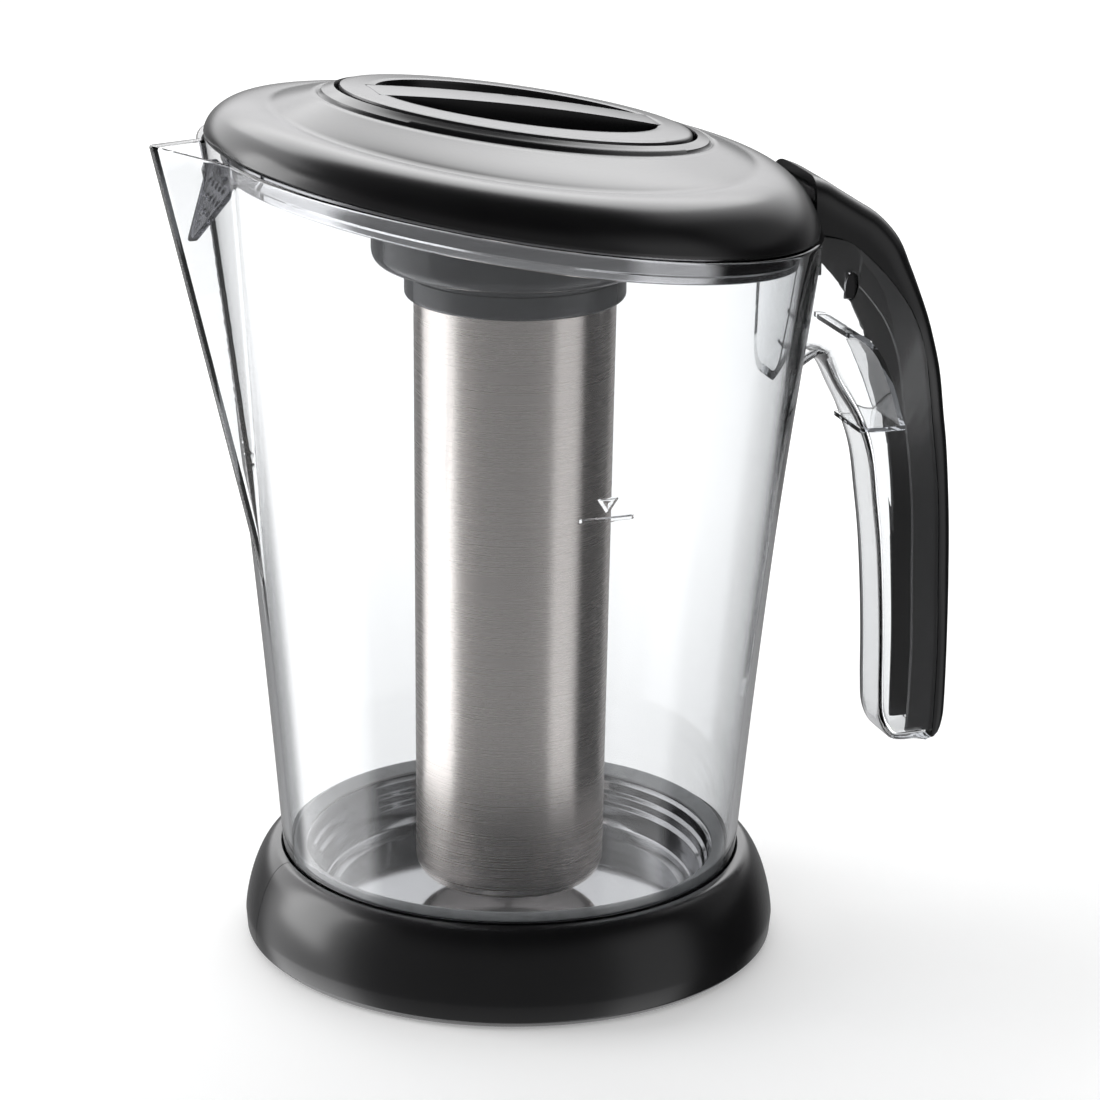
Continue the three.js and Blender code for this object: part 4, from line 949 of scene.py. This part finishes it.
def lid_shell():
    """The black lid: tall round shoulder, crease, and a fine groove round the plug's opening."""
    fall = (LID_TOP - CREASE_HEIGHT) / (CREASE_RADIUS - OPENING_RADIUS)
    middle = OPENING_RADIUS + 5.2

    def top(radius):
        bow = 0.4 * math.sin(math.pi * (radius - OPENING_RADIUS) / (CREASE_RADIUS - OPENING_RADIUS))
        return LID_TOP - fall * (radius - OPENING_RADIUS) + bow

    turn = np.linspace(0, math.pi / 2, 40)
    band = LID_EDGE_RADIUS - CREASE_RADIUS
    shoulder = np.stack([
        CREASE_RADIUS + band * np.maximum(np.cos(turn), 0) ** SHOULDER_OUT_POWER,
        LID_EDGE_HEIGHT + (CREASE_HEIGHT - LID_EDGE_HEIGHT) * np.sin(turn) ** SHOULDER_UP_POWER,
    ], axis=1)[:-1]
    slope_line = [(r, top(r)) for r in np.linspace(CREASE_RADIUS, middle + 1.0, 10)]
    groove = [(middle + aside, top(middle) - deep) for aside, deep in ((0.6, 0.5), (0, 0.9), (-0.6, 0.5))]
    inner_line = [(r, top(r)) for r in np.linspace(middle - 1.0, OPENING_RADIUS + 0.8, 4)]
    lip = [(OPENING_RADIUS + 0.3, LID_TOP - 0.1), (OPENING_RADIUS, LID_TOP - 0.7)]
    under = [
        (OPENING_RADIUS, SEAT_TOP), (50.5, SEAT_TOP), (50.5, SEAT_BOTTOM), (62.7, SEAT_BOTTOM),
        (62.7, top(62.7) - 2.5), (CREASE_RADIUS, 14.3), (86, 13), (92.5, 10), (95.6, 7.2), (97.4, 4.6),
        (97.4, 0.3), (99.7, 0.3), (100.4, 0.7),
    ]
    piece = turned(
        "black_lid", np.array([*shoulder, *slope_line, *groove, *inner_line, *lip, *under]),
        TURN_STEPS * 2, lid_spread,
    )
    return place(piece, "lid", "satin_black", "lid_shell", sharp=42)


def lid_liner():
    """The polished steel liner whose skirt hangs inside the clear rim."""
    outline = rounded(
        [(47.8, -9.2), (92.6, -9.2), (94.4, -8.6), (94.6, -6.4), (95.2, -5.6), (95.2, 4.5), (94.2, 4.5),
         (94.2, -5.2), (93.6, -7.6), (92, -8.2), (47.8, -8.2)],
        (0, 0.8, 0.8, 0.3, 0.3, 0.2, 0.2, 0.3, 0.5, 0.5, 0), 4,
    )

    def lay(points):
        radius = np.hypot(points[:, 0], points[:, 1])
        points[:, 0] += LID_SHIFT * np.clip((radius - 47.8) / 40, 0, 1)
        return slope(points)

    piece = turned("steel_liner", outline, move=lay)
    return place(piece, "lid", "polished_steel", "lid_liner", sharp=50)


def lid_trim():
    dress_node("spout_strainer", "smoky_plastic")
    for i in range(1, 5):
        dress_node(f"lid_screw_{i}", "zinc_steel")


# Tube socket, collar and cooling tube

LUG_ANGLES = (30, 150, 270)
RELEASE_TURN = 60
NECK_Z = 224.4
FLANGE_RADIUS = 36.1


def oval_disc(radius, share, low, high):
    """A slab of an oval outline between two heights over the rim plane."""

    def lay(points):
        points[:, 1] *= share
        return slope(points)

    return pillar(radius, low, high, move=lay)


def tube_socket():
    """The drum under the lid's seat, with the bayonet groove that holds the tube's collar."""
    radius, low, top = 47.5, 235.8, SEAT_BOTTOM - GAP
    outline = [(0, low), (radius, low), (radius, RIM_TOP_Z), (0, RIM_TOP_Z)]
    drum = turned("grey_socket", rounded(outline, (0, 4.6, 0, 0), 10), 128)
    shape(drum, "DIFFERENCE", above_rim(top))
    shape(drum, "UNION", oval_disc(57, PLUG_OVAL, 8, top))
    pocket, bore, well = oval_disc(49.9, 0.74, 9.5, 26), pillar(33, 236, RIM_TOP_Z), pillar(37.2, 220, 249.3)
    cuts = [pocket, bore, well, pillar(39.4, 239.5, 244.5)]
    cuts += [box("slot", (6.4, 9.6, 20), (36.2, 0, 234.5), turn=a + RELEASE_TURN) for a in LUG_ANGLES]
    shape(drum, "DIFFERENCE", *cuts)
    bevelled(drum, 0.3, 2, 40)
    return place(drum, "lid", "dark_grey", "tube_socket")


def tube_collar():
    """The collar on the tube's neck: a round-edged ring with three lugs."""
    inner, outer = 33.8, 36.6
    outline = [(inner, NECK_Z), (outer, NECK_Z), (outer, 232.2), (36.2, 232.6), (outer, 233), (outer, 246),
               (inner, 246)]
    piece = turned("grey_collar", rounded(outline, (0.2, 2.2, 0.2, 0.1, 0.2, 0.4, 0.2), 6), 144)
    lugs = [box("lug", (3, 8, 3.4), (37.1, 0, 242), turn=a) for a in LUG_ANGLES]
    shape(piece, "UNION", *lugs)
    return place(piece, "tube", "dark_grey", "tube_collar")


def cooling_tube():
    """The steel tube, one deep drawn cup with a flange, and the seal on the flange."""
    outline = rounded(
        [(0, 20.6), (31.7, 20.6), (33.5, NECK_Z), (33.5, 246.3), (FLANGE_RADIUS, 246.3),
         (FLANGE_RADIUS, 247.1), (32.7, 247.1), (32.7, NECK_Z), (30.9, 21.4), (0, 21.4)],
        (0, 8, 0, 0.3, 0.2, 0.2, 0.6, 0, 7.2, 0), 12,
    )
    piece = turned("steel_tube", outline)
    place(piece, "tube", "hairline_steel", "ice_tube")
    seal = [(33.3, 247.4), (FLANGE_RADIUS, 247.4), (FLANGE_RADIUS, 249), (33.3, 249)]
    ring = turned("tube_seal_ring", rounded(seal, (0.3,) * 4), 96)
    place(ring, "tube", "seal_rubber", "tube_seal")


# Plug

PLUG_RADIUS = 58.8
PLUG_NECK = 48.8
NECK_OVAL = 0.713
PLUG_EDGE_HEIGHT = 25.2
DOME_RISE = 2.5
BAR_SIZE = (96, 16, 24)
BAR_DEPTH = 6.5


def plug_spread(points):
    """Squeezes turned points to the plug's oval, a little more at its neck, and slopes them."""
    radius = np.hypot(points[:, 0], points[:, 1])
    share = np.clip((radius - PLUG_NECK) / (PLUG_RADIUS - PLUG_NECK), 0, 1)
    points[:, 1] *= NECK_OVAL + (PLUG_OVAL - NECK_OVAL) * share
    return slope(points)


def plug_dome(radius):
    return PLUG_EDGE_HEIGHT + DOME_RISE * (1 - (radius / PLUG_RADIUS) ** 2)


def bar_block(gap):
    """The space of the grip bar, grown by a gap."""
    length, width, height = BAR_SIZE
    low = plug_dome(0) - BAR_DEPTH - gap
    size = (length + gap * 2, width + gap * 2, height)
    return box("bar", size, (-1, 0, low + height / 2), move=slope)


def plug_pieces():
    """The oval plug with two finger wells, the bar across them, the stopper cup and its gasket."""
    crown = [(r, plug_dome(r)) for r in np.linspace(57.6, 48.2, 6)]
    outline = [
        (0, 9.8), (47.8, 9.8), (PLUG_NECK, 12), (PLUG_NECK, 17.3), (PLUG_RADIUS, 17.3), (PLUG_RADIUS, 24.3),
        (58.45, 25), *crown, (47.2, plug_dome(47) - 0.3), (47, plug_dome(47) - 1.3), (46.2, 13.6),
        (45, 12.2), (44, 12), (0, 12),
    ]
    cap = turned("plug_top", outline, move=plug_spread)
    shape(cap, "DIFFERENCE", bar_block(0.15))
    place(cap, "plug", "satin_black", "plug_cap", sharp=40)
    dome = [(r, plug_dome(r)) for r in np.linspace(49.8, 0, 14)]
    bar = turned("plug_bar", [(0, 0), (49.8, 0), *dome], move=plug_spread)
    shape(bar, "INTERSECT", bar_block(0))
    bevelled(bar, 0.8, 3, 35)
    place(bar, "plug", "satin_black", "grip_bar")
    stopper = [(0, 240), (30, 240), (30, RIM_TOP_Z), (27.8, RIM_TOP_Z), (27.8, 242.2), (0, 242.2)]
    cup = turned("stopper_cup", rounded(stopper, (0, 1.4, 0, 0, 0.6, 0)), 96)
    shape(cup, "DIFFERENCE", above_rim(9.5))
    place(cup, "plug", "dark_grey", "plug_stopper")
    gasket = [(30.3, 242.2), (31.2, 242.2), (32.4, 244.2), (31.2, 246.2), (30.3, 246.2)]
    ring = turned("plug_gasket_ring", rounded(gasket, (0.1, 0.2, 0.5, 0.2, 0.1)), 96)
    place(ring, "plug", "seal_rubber", "plug_gasket")


# Stage, lamps and camera

# Where the camera aims, in metres: beside the jug's axis, to the camera's right, and above the floor
AIM_ASIDE = 0.01258
AIM_HEIGHT = 0.1353


def ray_shares(tree):
    """Shares of a straight look, by air or through glass, and of one that a gloss or a mirror has turned."""
    path = add_node(tree, "LightPath").outputs
    turned_look = math_node(tree, "GREATER_THAN", path["Glossy Depth"], 0.5)
    straight = math_node(tree, "MAXIMUM", path["Is Camera Ray"], path["Is Transmission Ray"])
    return math_node(tree, "SUBTRACT", straight, turned_look), turned_look


# What the gloss sees low round the jug, by the angle from the camera in degrees, positive to its right:
# the far wall, a gap, the soft light, the dark front, a grey wall, black cloth and the far wall again
STUDIO_RING = [
    (-180, 0.2), (-150, 0.2), (-142, 0.1), (-132, 0.1), (-124, 1.0), (-78, 1.0), (-68, 0.26), (-56, 0.15),
    (10, 0.14), (44, 0.16), (54, 0.46), (80, 0.46), (90, 0.01), (132, 0.01), (150, 0.2), (180, 0.2),
]


def studio_ring(tree, across, depth, height):
    """Level of the walls and the soft light round the jug, brighter near the floor and dimmer overhead."""
    angle = math_node(tree, "ARCTAN2", across, math_node(tree, "MULTIPLY", depth, -1))
    ramp = add_node(tree, "ValToRGB")
    elements = ramp.color_ramp.elements
    while len(elements) < len(STUDIO_RING):
        elements.new(0.5)
    for element, (degrees, level) in zip(elements, STUDIO_RING):
        element.position = (degrees + 180) / 360
        element.color = (level, level, level, 1)
    tree.links.new(ranged(tree, angle, 0, 1, -math.pi, math.pi), ramp.inputs["Fac"])
    soft_light = bpy.context.scene.jug_stage.soft_light
    overhead = ranged(tree, height, soft_light, 0.05, 0.35, 0.7)
    fade = math_node(tree, "MULTIPLY", overhead, ranged(tree, height, 2.6, 1, -0.6, -0.32))
    return math_node(tree, "MULTIPLY", ramp.outputs["Color"], fade)


def white_cloth(tree, across, depth, height):
    """Level of the cloth behind and above, weaker to the right and where the clear wall is between."""
    stage = bpy.context.scene.jug_stage
    behind = ranged(tree, depth, 0, stage.overhead, 0.05, 0.3)
    level = math_node(tree, "MULTIPLY", behind, ranged(tree, across, 1, 0.1, 0.3, 0.7))
    path = add_node(tree, "LightPath")
    inside = math_node(tree, "GREATER_THAN", path.outputs["Transmission Depth"], 0.5)
    level = math_node(tree, "MULTIPLY", level, ranged(tree, inside, 1, stage.inside, 0, 1))
    from_low = ranged(tree, height, 0, 1, 0.02, 0.14)
    top = stage.overhead_top
    from_high = ranged(tree, height, 1, 0, math.sin(top - 0.05), math.sin(top + 0.06))
    return math_node(tree, "MULTIPLY", level, math_node(tree, "MULTIPLY", from_low, from_high))


def make_world():
    """White to the eye and through glass, a studio of light and dark for the gloss, and an even fill."""
    stage = bpy.context.scene.jug_stage
    world = bpy.data.worlds.new("Studio")
    bpy.context.scene.world = world
    world.use_nodes = True
    world.cycles.sampling_method = "NONE"
    tree = world.node_tree
    tree.nodes.clear()
    white = add_node(tree, "Background", Color=(1, 1, 1, 1))
    fill = add_node(tree, "Background", Color=(1, 1, 1, 1), Strength=stage.ambient)
    turn = add_node(tree, "VectorRotate", Angle=-stage.azimuth)
    turn.rotation_type = "Z_AXIS"
    tree.links.new(add_node(tree, "TexCoord").outputs["Generated"], turn.inputs["Vector"])
    parts = add_node(tree, "SeparateXYZ")
    tree.links.new(turn.outputs["Vector"], parts.inputs["Vector"])
    ring, cloth = studio_ring(tree, *parts.outputs), white_cloth(tree, *parts.outputs)
    room = add_node(tree, "Background", Color=(0.99, 0.99, 1, 1))
    tree.links.new(math_node(tree, "MAXIMUM", ring, cloth), room.inputs["Strength"])
    straight, turned_look = ray_shares(tree)
    rest = mixed(tree, turned_look, fill.outputs[0], room.outputs[0])
    seen = mixed(tree, straight, rest, white.outputs[0])
    tree.links.new(seen, add_node(tree, "OutputWorld").inputs["Surface"])


def make_floor():
    """A pale floor that keeps the jug's shadow and fades to white far from it, unseen by gloss."""
    stage = bpy.context.scene.jug_stage
    points = [(a * FLOOR_REACH, b * FLOOR_REACH, -0.2) for a, b in ((-1, -1), (1, -1), (1, 1), (-1, 1))]
    floor = add_object("studio_floor", points, [(0, 1, 2, 3)])
    material, tree, shader, output = new_finish("floor_paint")
    with_values(shader, Roughness=0.9, Specular_IOR_Level=0.1)
    link = tree.links.new
    darker = [c * 0.985 for c in stage.floor]
    paint = two_tones(tree, stretched_noise(tree, (1, 1, 1), 8), darker, stage.floor)
    link(paint, shader.inputs["Base Color"])
    away = add_node(tree, "VectorMath")
    away.operation = "LENGTH"
    link(add_node(tree, "TexCoord").outputs["Object"], away.inputs[0])
    distance = away.outputs["Value"]
    glow = add_node(tree, "Emission", Color=(1, 1, 1, 1))
    link(ranged(tree, distance, stage.floor_glow, 0.44, 0.2, 0.5), glow.inputs["Strength"])
    lit = add_node(tree, "AddShader")
    link(shader.outputs["BSDF"], lit.inputs[0])
    link(glow.outputs[0], lit.inputs[1])
    white = add_node(tree, "Emission")
    fade = ranged(tree, distance, 0, 1, stage.floor_near, stage.floor_far)
    seen = mixed(tree, fade, lit.outputs[0], white.outputs[0])
    unseen = add_node(tree, "BsdfTransparent")
    straight, turned_look = ray_shares(tree)
    rest = mixed(tree, turned_look, shader.outputs["BSDF"], unseen.outputs[0])
    link(mixed(tree, straight, rest, seen), output.inputs["Surface"])
    floor.data.materials.append(material)


def make_lamp(name, size, power, place_at, target):
    data = bpy.data.lights.new(name, "AREA")
    data.shape = "RECTANGLE"
    data.size, data.size_y = size
    data.energy = power
    lamp = bpy.data.objects.new(name, data)
    lamp.location = place_at
    lamp.rotation_mode = "QUATERNION"
    lamp.rotation_quaternion = (Vector(target) - Vector(place_at)).to_track_quat("-Z", "Y")
    lamp.visible_camera = False
    lamp.visible_transmission = False
    bpy.context.scene.collection.objects.link(lamp)
    return lamp


def around(azimuth, distance, height):
    """A place in metres, at an angle counted from the camera's azimuth and positive to its right."""
    angle = bpy.context.scene.jug_stage.azimuth + math.radians(azimuth)
    return (math.sin(angle) * distance, -math.cos(angle) * distance, height)


def make_camera():
    stage = bpy.context.scene.jug_stage
    a, e, roll = stage.azimuth, stage.elevation, stage.roll
    back = Vector((math.sin(a) * math.cos(e), -math.cos(a) * math.cos(e), math.sin(e)))
    right = Vector((math.cos(a), math.sin(a), 0))
    up = Vector((-math.sin(a) * math.sin(e), math.cos(a) * math.sin(e), math.cos(e)))
    side = right * math.cos(roll) + up * math.sin(roll)
    top = up * math.cos(roll) - right * math.sin(roll)
    aim = right * AIM_ASIDE + Vector((0, 0, AIM_HEIGHT))
    data = bpy.data.cameras.new("Camera")
    data.lens = stage.lens
    data.sensor_width = 36
    data.clip_start, data.clip_end = 0.05, 50
    camera = bpy.data.objects.new("Camera", data)
    bpy.context.scene.collection.objects.link(camera)
    turn = Matrix((side, top, back)).transposed().to_4x4()
    camera.matrix_world = Matrix.Translation(aim + back * stage.distance) @ turn
    bpy.context.scene.camera = camera


class JUG_OT_stage(bpy.types.Operator):
    """Makes the world, the floor, the lamps and the camera"""

    bl_idname = "jug.stage"
    bl_label = "Stage"

    def execute(self, context):
        stage = context.scene.jug_stage
        make_world()
        make_floor()
        make_lamp("side_lamp", (0.9, 1.3), stage.side_power, around(-98, 1.5, 0.55), (0, 0, 0.15))
        make_lamp("top_lamp", (1.8, 1.0), stage.back_power, around(180, 1.3, 1.35), (0, 0, 0.2))
        make_camera()
        context.scene.view_settings.view_transform = "Standard"
        return {"FINISHED"}


class JUG_OT_body(bpy.types.Operator):
    """Makes the clear body with its spout, rim and fill mark"""

    bl_idname = "jug.body"
    bl_label = "Clear body"

    def execute(self, context):
        clear_body()
        return {"FINISHED"}


class JUG_OT_floor_dish(bpy.types.Operator):
    """Makes the polished floor dish and its seal"""

    bl_idname = "jug.floor_dish"
    bl_label = "Floor dish"

    def execute(self, context):
        floor_dish()
        return {"FINISHED"}


class JUG_OT_base(bpy.types.Operator):
    """Makes the black base ring, its plate and screws"""

    bl_idname = "jug.base"
    bl_label = "Base ring"

    def execute(self, context):
        base_ring()
        return {"FINISHED"}


class JUG_OT_handle(bpy.types.Operator):
    """Makes the clear handle channel and its black cover"""

    bl_idname = "jug.handle"
    bl_label = "Handle"

    def execute(self, context):
        handle_channel()
        handle_cover()
        return {"FINISHED"}


class JUG_OT_lid(bpy.types.Operator):
    """Makes the lid, its steel liner, the strainer and the screws"""

    bl_idname = "jug.lid"
    bl_label = "Lid"

    def execute(self, context):
        lid_shell()
        lid_liner()
        lid_trim()
        return {"FINISHED"}


class JUG_OT_tube(bpy.types.Operator):
    """Makes the tube socket, the collar, the cooling tube and its seal"""

    bl_idname = "jug.tube"
    bl_label = "Cooling tube"

    def execute(self, context):
        tube_socket()
        tube_collar()
        cooling_tube()
        return {"FINISHED"}


class JUG_OT_plug(bpy.types.Operator):
    """Makes the plug, its grip bar, the stopper cup and the gasket"""

    bl_idname = "jug.plug"
    bl_label = "Plug"

    def execute(self, context):
        plug_pieces()
        return {"FINISHED"}


STEPS = (
    JUG_OT_stage, JUG_OT_body, JUG_OT_floor_dish, JUG_OT_base, JUG_OT_handle, JUG_OT_lid, JUG_OT_tube,
    JUG_OT_plug,
)
GROUPS = {"jug_sizes": JUG_PG_sizes, "jug_finishes": JUG_PG_finishes, "jug_stage": JUG_PG_stage}


class JUG_PT_panel(bpy.types.Panel):
    """Sizes, finishes and the steps that build the jug"""

    bl_idname = "JUG_PT_panel"
    bl_label = "Jug"
    bl_space_type = "VIEW_3D"
    bl_region_type = "UI"
    bl_category = "Jug"

    def draw(self, context):
        for name in GROUPS:
            group = getattr(context.scene, name)
            column = self.layout.column(align=True)
            for key in group.__annotations__:
                column.prop(group, key)
        for step in STEPS:
            self.layout.operator(step.bl_idname)


def register():
    for kind in (*GROUPS.values(), *STEPS, JUG_PT_panel):
        bpy.utils.register_class(kind)
    for name, kind in GROUPS.items():
        setattr(bpy.types.Scene, name, bpy.props.PointerProperty(type=kind))


def unregister():
    for name in GROUPS:
        delattr(bpy.types.Scene, name)
    for kind in reversed((*GROUPS.values(), *STEPS, JUG_PT_panel)):
        bpy.utils.unregister_class(kind)


def main():
    register()
    for step in STEPS:
        family, name = step.bl_idname.split(".")
        getattr(getattr(bpy.ops, family), name)()


if __name__ == "__main__":
    main()
